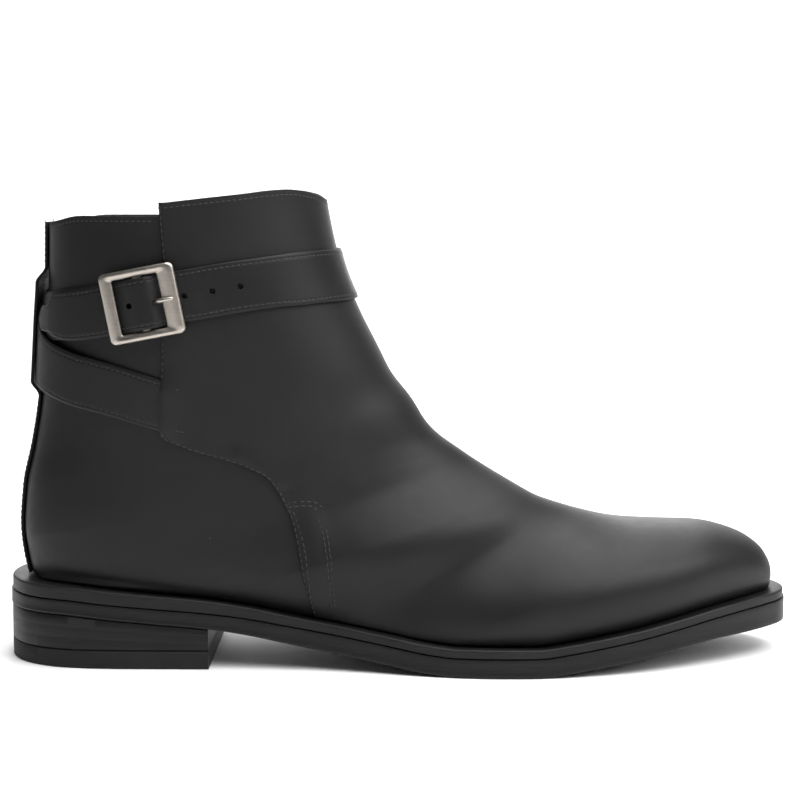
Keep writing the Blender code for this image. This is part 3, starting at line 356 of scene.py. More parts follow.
class UpperForm:
    """Surface of the upper as sections from the collar to the toe."""

    def __init__(self, sole: SoleForm) -> None:
        """Set up the curves through the tables."""
        self.sole = sole
        self.seat_start = len(BACK_ROWS) - 1
        self.last_row = self.seat_start + len(SEAT_ROWS)
        self.place_back = Curve([(i, row[0]) for i, row in enumerate(BACK_ROWS)])
        self.place_seat = Curve([(self.seat_start, 0.0)] + [
            (self.seat_start + 1 + i, row[0]) for i, row in enumerate(SEAT_ROWS)])
        table = BACK_ROWS + SEAT_ROWS
        self.back_rise, self.ridge_x, self.width, self.front, self.back = (
            Curve([(i, row[k]) for i, row in enumerate(table)]) for k in (1, 2, 5, 6, 7))
        self.ridge_rise = Curve([(i, row[3] * S.shaft_height + row[4] * S.toe_rise)
                                 for i, row in enumerate(table)])
        self.seam_x = Curve(SEAM)
        self.base_x = sole.sides("upper", 0.0)[0]
        self.heel_seat = float(sole.seat(self.base_x))

    def lower(self, row: np.ndarray, offset: float | np.ndarray) -> tuple:
        """Lower ends of the sections.

        Args:
            row: place between the collar and the toe.
            offset: distance over the quarter leather.

        Returns:
            Their x and z, and the seat's middle and half width there.
        """
        back_x = self.base_x + self.place_back(row) * S.sole_length - offset
        back_z = self.heel_seat + S.gap + self.back_rise(row) * S.shaft_height
        if np.ndim(offset) > 0:
            return back_x, back_z, np.zeros_like(back_x), np.zeros_like(back_x)
        rear, toe = self.sole.sides("upper", offset)[:2]
        x = rear + self.place_seat(row) * (toe - rear)
        low = self.sole.edge("upper", offset, x, Side.OUTER)
        high = self.sole.edge("upper", offset, x, Side.INNER)
        seated = row > self.seat_start
        return (np.where(seated, x, back_x), np.where(seated, self.sole.seat(x) + S.gap, back_z),
                np.where(seated, (low + high) / 2, 0.0),
                np.where(seated, np.maximum((high - low) / 2, 0.0), 0.0))

    def ridge(self, row: np.ndarray) -> tuple:
        """Ridge point (x, z) of the sections on the quarter leather."""
        x = S.rear + self.ridge_x(row) * S.sole_length
        z = self.sole.seat(x) + S.gap + self.ridge_rise(row)
        toe_x, toe_z = self.lower(np.asarray(row, dtype=float), 0.0)[:2]
        return np.where(row >= self.last_row, toe_x, x), np.where(row >= self.last_row, toe_z, z)

    def ridge_normal(self, row: np.ndarray) -> tuple:
        """Direction (x, z) square to the ridge, level at the toe's tip."""
        x0, z0 = self.ridge(np.maximum(row - 0.05, 0.0))
        x1, z1 = self.ridge(np.minimum(row + 0.05, self.last_row))
        size = np.hypot(x1 - x0, z1 - z0)
        nx, nz = (z0 - z1) / size, (x1 - x0) / size
        level = ease(row - (self.last_row - 1))
        nx, nz = nx + (1 - nx) * level, nz * (1 - level)
        size = np.hypot(nx, nz)
        return nx / size, nz / size

    def section(self, row: np.ndarray, offset: float | np.ndarray) -> tuple:
        """Shape of the sections.

        Args:
            row: place between the collar and the toe.
            offset: distance over the quarter leather.

        Returns:
            Lower point, ridge point, middle, half width, two powers and the last angle.
        """
        x, z, middle, foot = self.lower(row, offset)
        ridge_x, ridge_z = self.ridge(row)
        nx, nz = self.ridge_normal(row)
        end = row >= self.last_row
        ridge_x = np.where(end, x, ridge_x + offset * nx)
        ridge_z = np.where(end, z, ridge_z + offset * nz)
        width, front, back = self.width(row), self.front(row), self.back(row)
        shaft_half = width * S.ankle_width
        bare = self.lower(row, 0.0)[3]
        swell = bare * (1 + S.bulge)
        soft = S.blend * np.clip(foot / np.maximum(shaft_half, 1e-9), 0.0, 1.0)
        soft = np.where(shaft_half > 0, soft, 0.0)
        half = (shaft_half + swell + np.hypot(shaft_half - swell, soft)) / 2 + offset
        half = np.maximum(half, foot * 1.01)
        ratio = np.clip(foot / np.maximum(half, 1e-9), 0.0, 0.99)
        last = np.where(end, math.pi, math.pi - np.arcsin(ratio ** (back / 2)))
        return x, z, ridge_x, ridge_z, middle, half, 2 / front, 2 / back, last

    def point(self, row: np.ndarray, angle: np.ndarray, side: np.ndarray,
              offset: float | np.ndarray = 0.0) -> np.ndarray:
        """Points of an offset surface.

        Args:
            row: place between the collar and the toe.
            angle: 0 at the ridge, the section's last angle at the foot.
            side: sign of y.
            offset: distance over the quarter leather.

        Returns:
            The points, with x, y, z in the last axis.
        """
        x, z, ridge_x, ridge_z, middle, half, front, back, last = self.section(row, offset)
        if np.ndim(offset) == 0:
            angle = angle * last / self.section(row, 0.0)[8]
        power = np.where(angle <= math.pi / 2, front, back)
        cosine = np.cos(angle)
        turn = np.sign(cosine) * np.abs(cosine) ** power
        end = np.sign(np.cos(last)) * np.abs(np.cos(last)) ** back
        share = (turn - end) / (1 - end)
        y = middle + side * half * np.abs(np.sin(angle)) ** power
        along, up = x + (ridge_x - x) * share, z + (ridge_z - z) * share
        return np.stack(np.broadcast_arrays(along, y, up), axis=-1)

    def locate(self, x: np.ndarray, z: np.ndarray, offset: float = 0.0) -> tuple:
        """Places of the points of one side that lie at x and z.

        Args:
            x: their forward positions.
            z: their heights.
            offset: distance over the quarter leather.

        Returns:
            Their rows and angles.
        """
        def beside(row: np.ndarray) -> np.ndarray:
            """Which side of a section's line the point lies on."""
            low_x, low_z, high_x, high_z = self.section(row, offset)[:4]
            return (x - low_x) * (high_z - low_z) - (z - low_z) * (high_x - low_x)

        row = solve(beside, np.full_like(x, 0.05), np.full_like(x, self.last_row - 0.02))
        low_x, low_z, high_x, high_z, _, _, front, back, last = self.section(row, offset)
        dx, dz = high_x - low_x, high_z - low_z
        share = np.clip(((x - low_x) * dx + (z - low_z) * dz) / (dx * dx + dz * dz), 0.0, 1.0)
        end = np.sign(np.cos(last)) * np.abs(np.cos(last)) ** back
        turn = np.clip(share * (1 - end) + end, -1.0, 1.0)
        power = np.where(turn > 0, front, back)
        angle = np.arccos(np.sign(turn) * np.abs(turn) ** (1 / power))
        return row, angle * self.section(row, 0.0)[8] / last

    def crossing(self, row: np.ndarray) -> np.ndarray:
        """Where the sections cross the side seam.

        Args:
            row: place between the collar and the toe.

        Returns:
            The angles, or the last angles of the sections ahead of the seam's foot.
        """
        last = self.section(row, 0.0)[8]

        def ahead(angle: np.ndarray) -> np.ndarray:
            """Distance ahead of the seam."""
            spot = self.point(row, angle, -1.0)
            height = (spot[..., 2] - self.heel_seat) / S.shaft_height
            return spot[..., 0] - (S.rear + S.sole_length * self.seam_x(height))

        found = solve(ahead, np.zeros_like(last), last)
        return np.where(ahead(last) >= 0, last, found)

    def row_at(self, angle: np.ndarray, side: np.ndarray, z: np.ndarray,
               offset: float | np.ndarray = 0.0) -> np.ndarray:
        """Row whose point at the angle lies at height z, on the shaft."""
        low = np.zeros(np.broadcast(angle, z, offset).shape)
        return solve(lambda row: self.point(row, angle, side, offset)[..., 2] - z,
                     low, low + self.seat_start)

    def collar_height(self, x: np.ndarray, panel: bool) -> np.ndarray:
        """Height of the collar's edge.

        Args:
            x: forward positions.
            panel: if the edge is the front panel's, not the quarters'.

        Returns:
            The heights above the floor.
        """
        rear = self.lower(np.array([1.0]), 0.0)[0][0]
        front = self.ridge(np.array([1.0]))[0][0]
        seam = S.rear + S.sole_length * float(self.seam_x(0.9))
        if not panel:
            rise = (S.collar_side - S.collar_back) * ease((x - rear) / (seam - rear) * 3)
            return self.heel_seat + S.collar_back + rise
        crown = Curve(((0.0, S.collar_step),
                       (0.45, S.collar_step + 0.6 * (S.shaft_height - S.collar_step)),
                       (0.78, S.shaft_height),
                       (0.92, S.shaft_height - 0.35 * (S.shaft_height - S.collar_front)),
                       (1.0, S.collar_front)))
        return self.heel_seat + crown(np.clip((x - seam) / (front - seam), 0.0, 1.0))

    def collar_row(self, angle: np.ndarray, side: int, panel: bool) -> np.ndarray:
        """Row at which the upper ends at the collar."""
        row = np.ones_like(angle)
        for _ in range(4):
            x = self.point(row, angle, side)[..., 0]
            row = self.row_at(angle, side, self.collar_height(x, panel))
        return row


@dataclass(frozen=True)
class Stroke:
    """Soft trough or ridge on one or both sides, placed on the boot.

    Its path holds (x, z) points: x as a share of the sole's length, z as a share of the
    shaft's height above the floor.
    """

    path: tuple
    width: float
    depth: float
    sides: tuple = (Side.OUTER, Side.INNER)

    def height(self, points: np.ndarray) -> np.ndarray:
        """Height that the stroke adds.

        Args:
            points: points of the leather.

        Returns:
            The height at each of them.
        """
        path = np.array(self.path) * (S.sole_length, S.shaft_height) + (S.rear, 0.0)
        flat = points[..., (0, 2)]
        near = np.full(flat.shape[:-1], 1e9)
        for a, b in zip(path[:-1], path[1:]):
            d = b - a
            t = np.clip(((flat - a) @ d) / (d @ d), 0.0, 1.0)
            near = np.minimum(near, np.linalg.norm(flat - a - t[..., None] * d, axis=-1))
        result = self.depth * np.exp(-(near / self.width) ** 2)
        if len(self.sides) == 1:
            result = result * ease(0.5 + points[..., 1] * self.sides[0].value / 0.016)
        return result


STROKES = (
    Stroke(((0.505, 0.76), (0.47, 0.70), (0.42, 0.655)), 0.009, -0.0009),
    Stroke(((0.53, 0.70), (0.49, 0.63), (0.43, 0.60)), 0.010, 0.0007),
    Stroke(((0.56, 0.62), (0.51, 0.55), (0.46, 0.53)), 0.010, -0.0007),
    Stroke(((0.70, 0.45), (0.66, 0.36), (0.63, 0.26)), 0.012, -0.0005),
    Stroke(((0.74, 0.42), (0.71, 0.33), (0.68, 0.22)), 0.012, 0.0004),
    Stroke(((0.384, 0.405), (0.394, 0.36), (0.399, 0.30), (0.402, 0.18)), 0.0048, 0.0007),
)


# The panel's edge rises where a strap leaves from under it, and curls along the instep.
LIFTS = (
    Stroke(((0.211, 0.620), (0.211, 0.702)), 0.0062, 0.0017, (Side.OUTER,)),
    Stroke(((0.211, 0.620), (0.211, 0.702)), 0.0062, 0.0017, (Side.INNER,)),
    Stroke(((0.306, 0.545), (0.335, 0.512), (0.350, 0.475)), 0.0030, 0.0006),
)


class Builder:
    """Turns numbers into finished objects of the scene."""

    @staticmethod
    def mesh(name: str, points: np.ndarray, faces: list, finish: bpy.types.Material,
             values: dict[str, np.ndarray] | None = None, weld: float = 0.0,
             smooth: float = 180.0) -> bpy.types.Object:
        """Make an object from points and faces.

        Args:
            name: its name.
            points: the vertices.
            faces: vertex numbers of each face.
            finish: its material.
            values: named numbers, one for each vertex.
            weld: distance within which vertices are joined.
            smooth: largest angle that is shaded smooth, in degrees.

        Returns:
            The object, in the scene.
        """
        mesh = bpy.data.meshes.new(name)
        mesh.from_pydata(np.asarray(points, dtype=float).tolist(), [], faces)
        for label, numbers in (values or {}).items():
            layer = mesh.attributes.new(label, "FLOAT", "POINT")
            layer.data.foreach_set("value", np.asarray(numbers, dtype=np.float32).ravel())
        if weld > 0:
            shape = bmesh.new()
            shape.from_mesh(mesh)
            bmesh.ops.remove_doubles(shape, verts=shape.verts, dist=weld)
            bmesh.ops.dissolve_degenerate(shape, edges=shape.edges, dist=1e-7)
            shape.to_mesh(mesh)
            shape.free()
        mesh.shade_smooth()
        if smooth < 180.0:
            mesh.set_sharp_from_angle(angle=math.radians(smooth))
        mesh.materials.append(finish)
        piece = bpy.data.objects.new(name, mesh)
        bpy.context.scene.collection.objects.link(piece)
        return piece

    @staticmethod
    def grid(rows: int, columns: int, flip: bool = False, closed: bool = False) -> list:
        """Quads of a grid of points, numbered row by row."""
        i, j = np.meshgrid(np.arange(rows - 1), np.arange(columns if closed else columns - 1),
                           indexing="ij")
        k = (j + 1) % columns
        quads = np.stack((i * columns + j, i * columns + k, (i + 1) * columns + k,
                          (i + 1) * columns + j), axis=-1).reshape(-1, 4)
        return (quads[:, ::-1] if flip else quads).tolist()

    @staticmethod
    def outward(piece: bpy.types.Object) -> None:
        """Turn the faces of a closed piece outward."""
        shape = bmesh.new()
        shape.from_mesh(piece.data)
        bmesh.ops.recalc_face_normals(shape, faces=shape.faces)
        if shape.calc_volume(signed=True) < 0:
            bmesh.ops.reverse_faces(shape, faces=shape.faces)
        shape.to_mesh(piece.data)
        shape.free()

    @staticmethod
    def loft(name: str, rings: np.ndarray, finish: bpy.types.Material,
             values: dict[str, np.ndarray] | None = None, smooth: float = 50.0,
             caps: tuple[bool, bool] = (True, True), weld: float = 0.0) -> bpy.types.Object:
        """Make a piece through rings of points.

        Args:
            name: its name.
            rings: points of the rings, in order.
            finish: its material.
            values: named numbers, one for each vertex.
            smooth: largest angle that is shaded smooth, in degrees.
            caps: if the first and the last ring are closed by a face.
            weld: distance within which vertices are joined.

        Returns:
            The object, its faces outward.
        """
        count, size = rings.shape[:2]
        faces = Builder.grid(count, size, closed=True)
        ends = (list(range(size))[::-1], list(range((count - 1) * size, count * size)))
        faces += [end for end, wanted in zip(ends, caps) if wanted]
        piece = Builder.mesh(name, rings.reshape(-1, 3), faces, finish, values, weld, smooth)
        Builder.outward(piece)
        return piece

    @staticmethod
    def place(piece: bpy.types.Object, slot: Slot, *nodes: str) -> bpy.types.Object:
        """Tie a piece to the boot and hide the solids it stands for."""
        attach(piece, "root")
        if nodes:
            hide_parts(*nodes)
        log.info("%s: %d faces", piece.name, len(piece.data.polygons))
        return piece


def operator(kind: str, swap: bool = False) -> object:
    """Method of a Value that adds an arithmetic node, with its terms swapped if asked."""
    def apply(left: "Value", right: "Value | float") -> "Value":
        """Value of the node."""
        return left.math(kind, right, left) if swap else left.math(kind, left, right)

    return apply


class Value:
    """Number that a material's nodes work out."""

    def __init__(self, graph: "Graph", socket: bpy.types.NodeSocket) -> None:
        """Wrap an output socket."""
        self.graph, self.socket = graph, socket

    def math(self, kind: str, *others: "Value | float") -> "Value":
        """Value of one arithmetic node."""
        node = self.graph.tree.nodes.new("ShaderNodeMath")
        node.operation = kind
        for socket, item in zip(node.inputs, others):
            self.graph.feed(socket, item)
        return Value(self.graph, node.outputs[0])

    __add__, __radd__ = operator("ADD"), operator("ADD", True)
    __sub__, __rsub__ = operator("SUBTRACT"), operator("SUBTRACT", True)
    __mul__, __rmul__ = operator("MULTIPLY"), operator("MULTIPLY", True)

    def step(self, low: float, high: float) -> "Value":
        """Soft step from 0 at low to 1 at high."""
        node = self.graph.node("ShaderNodeMapRange", {"interpolation_type": "SMOOTHSTEP"},
                               {"Value": self, "From Min": low, "From Max": high})
        return Value(self.graph, node.outputs["Result"])


class Graph:
    """Node tree of one finish."""

    def __init__(self, name: str) -> None:
        """Start a material with its shader."""
        self.material = bpy.data.materials.new(name)
        self.material.use_nodes = True
        self.tree = self.material.node_tree
        self.shader = self.tree.nodes["Principled BSDF"]
        self.place = self.node("ShaderNodeTexCoord").outputs["Object"]

    def feed(self, socket: bpy.types.NodeSocket, item: object) -> None:
        """Link a value to a socket, or set the socket."""
        if isinstance(item, Value):
            item = item.socket
        if isinstance(item, bpy.types.NodeSocket):
            self.tree.links.new(item, socket)
        else:
            socket.default_value = item

    def node(self, kind: str, settings: dict | None = None,
             inputs: dict | None = None) -> bpy.types.Node:
        """Add a node.

        Args:
            kind: its type.
            settings: properties, set first.
            inputs: socket values or links by name.

        Returns:
            The node.
        """
        node = self.tree.nodes.new(kind)
        for key, item in (settings or {}).items():
            setattr(node, key, item)
        for key, item in (inputs or {}).items():
            self.feed(node.inputs[key], item)
        return node

    def noise(self, scale: float, detail: float = 3.0, rough: float = 0.5,
              stretch: tuple | None = None, place: object = None) -> Value:
        """Noise from 0 to 1.

        Args:
            scale: cells per metre.
            detail: finer layers.
            rough: strength of the finer layers.
            stretch: factors along the axes.
            place: coordinates, or None for the object's.

        Returns:
            The value.
        """
        where = place or self.place
        if stretch is not None:
            where = self.node("ShaderNodeVectorMath", {"operation": "MULTIPLY"},
                              {0: where, 1: stretch}).outputs[0]
        node = self.node("ShaderNodeTexNoise", {"noise_dimensions": "3D"}, {
            "Vector": where, "Scale": scale, "Detail": detail, "Roughness": rough})
        return Value(self, node.outputs["Fac"])

    def cells(self, scale: float, feature: str = "F1", output: str = "Distance") -> Value:
        """Cell pattern, its scale in cells per metre."""
        node = self.node("ShaderNodeTexVoronoi", {"feature": feature},
                         {"Vector": self.place, "Scale": scale})
        return Value(self, node.outputs[output])

    def attribute(self, name: str) -> Value:
        """Number kept on the mesh."""
        node = self.node("ShaderNodeAttribute", {"attribute_name": name})
        return Value(self, node.outputs["Fac"])

    def mix(self, factor: Value, low: object, high: object) -> bpy.types.NodeSocket:
        """Colour between two others."""
        node = self.node("ShaderNodeMix", {"data_type": "RGBA"})
        self.feed(node.inputs["Factor"], factor)
        colours = [s for s in node.inputs if s.type == "RGBA"]
        for socket, item in zip(colours, (low, high)):
            self.feed(socket, (*item, 1.0) if isinstance(item, tuple) else item)
        return next(s for s in node.outputs if s.type == "RGBA")

    def bump(self, height: Value) -> None:
        """Raise the surface by a height in metres."""
        node = self.node("ShaderNodeBump", None,
                         {"Height": height, "Strength": 1.0, "Distance": 1.0})
        self.feed(self.shader.inputs["Normal"], node.outputs["Normal"])

    def set(self, **inputs: object) -> None:
        """Feed inputs of the shader, with underscores for spaces in their names."""
        for key, item in inputs.items():
            self.feed(self.shader.inputs[key.replace("_", " ")], item)


@dataclass(frozen=True)
class Leather:
    """Smooth black leather with pores, soft undulation, stitch channels and cut edges."""

    name: str
    colour: tuple = (0.0060, 0.0060, 0.0063)
    worn: tuple = (0.012, 0.0118, 0.0115)
    edge_colour: tuple = (0.006, 0.006, 0.006)
    rough: float = 0.52
    gloss: float = 0.26
    vary: float = 0.10
    pore: float = 1500.0
    pore_depth: float = 0.000012
    wrinkle: float = 220.0
    wrinkle_depth: float = 0.00003
    wave: float = 28.0
    wave_depth: float = 0.0004
    channel: float = 0.0012
    channel_depth: float = 0.00010
    channel_width: float = 0.0007

    def build(self) -> bpy.types.Material:
        """Make the material."""
        g = Graph(self.name)
        fine = g.noise(self.pore, 2.0, 0.6)
        cells = g.cells(self.pore * 0.8)
        fold = g.noise(self.wrinkle, 4.0, 0.55, (1.0, 1.0, 1.6))
        wave = g.noise(self.wave, 2.0, 0.45)
        patch = g.noise(self.wave * 0.7, 4.0, 0.6)
        seam = g.attribute("seam")
        cut = g.attribute("cut")
        past, before = seam - self.channel, self.channel - seam
        channel = 1.0 - past.step(0.0, self.channel_width) - before.step(0.0, self.channel_width)
        tone = patch.step(0.35, 0.72) * 0.45 + cut * 0.3
        black = g.mix(tone, self.colour, self.worn)
        black = g.mix(cut.step(0.55, 0.9), black, self.edge_colour)
        speck = g.cells(95.0)
        dust = (1.0 - speck.step(0.012, 0.030)) * g.noise(60.0, 1.0).step(0.60, 0.64)
        black = g.mix(dust * 0.35, black, (0.16, 0.155, 0.15))
        g.set(Base_Color=black, Roughness=self.rough + (patch - 0.5) * self.vary + cut * 0.25
              + (fold - 0.5) * 0.10 + dust * 0.3)
        g.set(Specular_IOR_Level=self.gloss)
        g.bump((fine - 0.5) * self.pore_depth + cells * self.pore_depth
               + fold * self.wrinkle_depth * (1.0 + cut * 3.0) + wave * self.wave_depth
               - channel * self.channel_depth + g.noise(3200.0, 2.0) * cut * 0.00006)
        return g.material


@dataclass(frozen=True)
class Thread:
    """Waxed thread, twisted and slightly glossy."""

    name: str
    colour: tuple = (0.010, 0.010, 0.011)
    rough: float = 0.5

    def build(self) -> bpy.types.Material:
        """Make the material."""
        g = Graph(self.name)
        fibre = g.noise(5200.0, 2.0, 0.6, (1.0, 1.0, 0.35))
        twist = g.noise(2200.0, 1.0)
        g.set(Base_Color=g.mix(fibre.step(0.35, 0.75), self.colour, (0.022, 0.021, 0.021)),
              Roughness=self.rough + (twist - 0.5) * 0.25)
        g.bump(fibre * 0.00004)
        return g.material


@dataclass(frozen=True)
class EdgeLeather:
    """Stacked sole leather, inked and burnished at its edge, with a painted highlight on its
    crowns.
    """

    name: str
    colour: tuple = (0.0075, 0.0074, 0.0073)
    # Lighter colour of the layer lines and of the painted highlight on the crowns.
    light: tuple = (0.017, 0.0165, 0.016)
    rough: float = 0.46

    def build(self) -> bpy.types.Material:
        """Make the material."""
        g = Graph(self.name)
        layers = g.noise(60.0, 3.0, 0.6, (1.0, 1.0, 14.0))
        scuff = g.noise(420.0, 3.0, 0.6, (0.35, 0.35, 3.0))
        patch = g.noise(45.0, 3.0)
        crown = g.attribute("crown")
        # The crown value paints a highlight on the rounded edges, broken up by scuffs.
        tone = layers.step(0.3, 0.75) * 0.4 + crown * 0.5 * scuff.step(0.3, 0.6)
        g.set(Base_Color=g.mix(tone, self.colour, self.light),
              Roughness=self.rough + (patch - 0.5) * 0.16 + (scuff - 0.5) * 0.22)
        g.set(Specular_IOR_Level=0.22)
        g.bump(layers * 0.00006 + scuff * 0.00003 + g.noise(1500.0, 2.0) * 0.00001)
        return g.material


@dataclass(frozen=True)
class Rubber:
    """Moulded matt rubber of the heel piece."""

    name: str
    colour: tuple = (0.008, 0.008, 0.008)
    rough: float = 0.68

    def build(self) -> bpy.types.Material:
        """Make the material."""
        g = Graph(self.name)
        grit = g.noise(1700.0, 3.0, 0.65)
        patch = g.noise(70.0, 3.0)
        g.set(Base_Color=g.mix(patch.step(0.4, 0.75) * 0.5, self.colour, (0.014, 0.0135, 0.013)),
              Roughness=self.rough + (grit - 0.5) * 0.2)
        g.set(Specular_IOR_Level=0.28)
        g.bump(grit * 0.00004)
        return g.material


@dataclass(frozen=True)
class Metal:
    """Brushed nickel with painted shade in its recesses and on its hidden bar."""

    name: str
    colour: tuple = (0.47, 0.43, 0.385)
    # Colour of the painted shade in the recesses, also of the brush streaks.
    shade_and_streak_colour: tuple = (0.11, 0.098, 0.085)
    rough: float = 0.34

    def build(self) -> bpy.types.Material:
        """Make the material."""
        g = Graph(self.name)
        brush = g.noise(1300.0, 3.0, 0.6, (0.16, 1.0, 1.0))
        cloud = g.noise(260.0, 3.0)
        recess_shade = g.attribute("recess_shade")
        # The recess value darkens the metal as painted shade; brush streaks and clouds vary its
        # real tone.
        tone = recess_shade * 0.75 + (1.0 - brush.step(0.2, 0.6)) * 0.22 + cloud.step(0.55, 0.8) * 0.15
        g.set(Base_Color=g.mix(tone, self.colour, self.shade_and_streak_colour), Metallic=1.0,
              Roughness=self.rough + (brush - 0.5) * 0.22 + recess_shade * 0.2)
        g.bump(brush * 0.000015 + cloud * 0.00002)
        return g.material


@dataclass(frozen=True)
class Lining:
    """Dark lining leather with a suede nap."""

    name: str
    colour: tuple = (0.020, 0.018, 0.0165)

    def build(self) -> bpy.types.Material:
        """Make the material."""
        g = Graph(self.name)
        nap = g.noise(2600.0, 3.0, 0.7)
        patch = g.noise(60.0, 3.0)
        g.set(Base_Color=g.mix(patch.step(0.3, 0.8) * 0.6, self.colour, (0.040, 0.036, 0.033)),
              Roughness=0.85 + (nap - 0.5) * 0.2)
        g.bump(nap * 0.00006 + g.noise(300.0, 3.0) * 0.0001)
        return g.material


@dataclass
class Stitching:
    """Rows of thread on the leather, placed as a repeat along lines."""

    name: str
    pitch: float
    length: float
    radius: float
    finish: bpy.types.Material
    rows: list = field(default_factory=list)

    def add(self, points: np.ndarray, ups: np.ndarray) -> None:
        """Add a row through points, with the leather's direction there."""
        self.rows.append((np.asarray(points), unit(np.asarray(ups))))

    def tree(self) -> bpy.types.NodeTree:
        """Node group that lays one bowed stitch at each pitch of the lines."""
        tree = bpy.data.node_groups.new(self.name + "_nodes", "GeometryNodeTree")
        face = tree.interface
        face.new_socket("Geometry", in_out="INPUT", socket_type="NodeSocketGeometry")
        for label in ("Pitch", "Length", "Radius"):
            face.new_socket(label, in_out="INPUT", socket_type="NodeSocketFloat")
        face.new_socket("Seed", in_out="INPUT", socket_type="NodeSocketInt")
        face.new_socket("Material", in_out="INPUT", socket_type="NodeSocketMaterial")
        face.new_socket("Geometry", in_out="OUTPUT", socket_type="NodeSocketGeometry")

        def add(kind: str, settings: dict | None = None, inputs: dict | None = None):
            """Add a node, its settings first."""
            node = tree.nodes.new(kind)
            for key, item in (settings or {}).items():
                setattr(node, key, item)
            for key, item in (inputs or {}).items():
                if isinstance(item, bpy.types.NodeSocket):
                    tree.links.new(item, node.inputs[key])
                else:
                    node.inputs[key].default_value = item
            return node

        def times(a: object, b: object):
            """Product of two numbers."""
            return add("ShaderNodeMath", {"operation": "MULTIPLY"}, {0: a, 1: b}).outputs[0]

        source = add("NodeGroupInput").outputs
        sink = add("NodeGroupOutput")
        line = add("GeometryNodeMeshToCurve", None, {"Mesh": source["Geometry"]})
        even = add("GeometryNodeResampleCurve", {"mode": "LENGTH"},
                   {"Curve": line.outputs["Curve"], "Length": source["Pitch"]})
        reach = times(source["Length"], 0.5)
        sink_depth = times(source["Radius"], -1.3)
        start = add("ShaderNodeCombineXYZ", None, {"X": times(reach, -1.0), "Z": sink_depth})
        middle = add("ShaderNodeCombineXYZ", None, {"Z": times(source["Radius"], 1.3)})
        end = add("ShaderNodeCombineXYZ", None, {"X": reach, "Z": sink_depth})
        bow = add("GeometryNodeCurveQuadraticBezier", None, {
            "Resolution": 6, "Start": start.outputs[0], "Middle": middle.outputs[0],
            "End": end.outputs[0]})
        ring = add("GeometryNodeCurvePrimitiveCircle", None,
                   {"Resolution": 6, "Radius": source["Radius"]})
        thread = add("GeometryNodeCurveToMesh", None, {
            "Curve": bow.outputs["Curve"], "Profile Curve": ring.outputs["Curve"],
            "Fill Caps": True})
        tangent = add("GeometryNodeInputTangent")
        up = add("GeometryNodeInputNamedAttribute", {"data_type": "FLOAT_VECTOR"}, {"Name": "up"})
        turn = add("FunctionNodeAxesToRotation", {"primary_axis": "Z", "secondary_axis": "X"}, {
            "Primary Axis": up.outputs["Attribute"], "Secondary Axis": tangent.outputs["Tangent"]})
        tilt = add("FunctionNodeRandomValue", {"data_type": "FLOAT_VECTOR"}, {
            "Min": (-0.03, -0.03, -0.05), "Max": (0.03, 0.03, 0.05), "Seed": source["Seed"]})
        lay = add("GeometryNodeInstanceOnPoints", None, {
            "Points": even.outputs["Curve"], "Instance": thread.outputs["Mesh"],
            "Rotation": turn.outputs["Rotation"]})
        shake = add("GeometryNodeRotateInstances", None, {
            "Instances": lay.outputs["Instances"], "Rotation": tilt.outputs["Value"]})
        real = add("GeometryNodeRealizeInstances", None, {"Geometry": shake.outputs["Instances"]})
        soft = add("GeometryNodeSetShadeSmooth", None, {"Geometry": real.outputs["Geometry"]})
        coat = add("GeometryNodeSetMaterial", None, {
            "Geometry": soft.outputs["Geometry"], "Material": source["Material"]})
        tree.links.new(coat.outputs["Geometry"], sink.inputs["Geometry"])
        return tree

    def build(self) -> bpy.types.Object:
        """Lay the stitches and keep them as a plain mesh."""
        points = np.vstack([row[0] for row in self.rows])
        ups = np.vstack([row[1] for row in self.rows])
        edges, start = [], 0
        for row, _ in self.rows:
            edges += [(start + i, start + i + 1) for i in range(len(row) - 1)]
            start += len(row)
        mesh = bpy.data.meshes.new(self.name + "_lines")
        mesh.from_pydata(points.tolist(), edges, [])
        layer = mesh.attributes.new("up", "FLOAT_VECTOR", "POINT")
        layer.data.foreach_set("vector", ups.astype(np.float32).ravel())
        piece = bpy.data.objects.new(self.name, mesh)
        bpy.context.scene.collection.objects.link(piece)
        tree = self.tree()
        modifier = piece.modifiers.new("stitches", "NODES")
        modifier.node_group = tree
        values = {"Pitch": self.pitch, "Length": self.length, "Radius": self.radius, "Seed": 7,
                  "Material": self.finish}
        for item in tree.interface.items_tree:
            if item.in_out == "INPUT" and item.name in values:
                modifier[item.identifier] = values[item.name]
        bpy.context.view_layer.update()
        graph = bpy.context.evaluated_depsgraph_get()
        done = bpy.data.meshes.new_from_object(piece.evaluated_get(graph), depsgraph=graph)
        piece.modifiers.clear()
        piece.data = done
        return piece


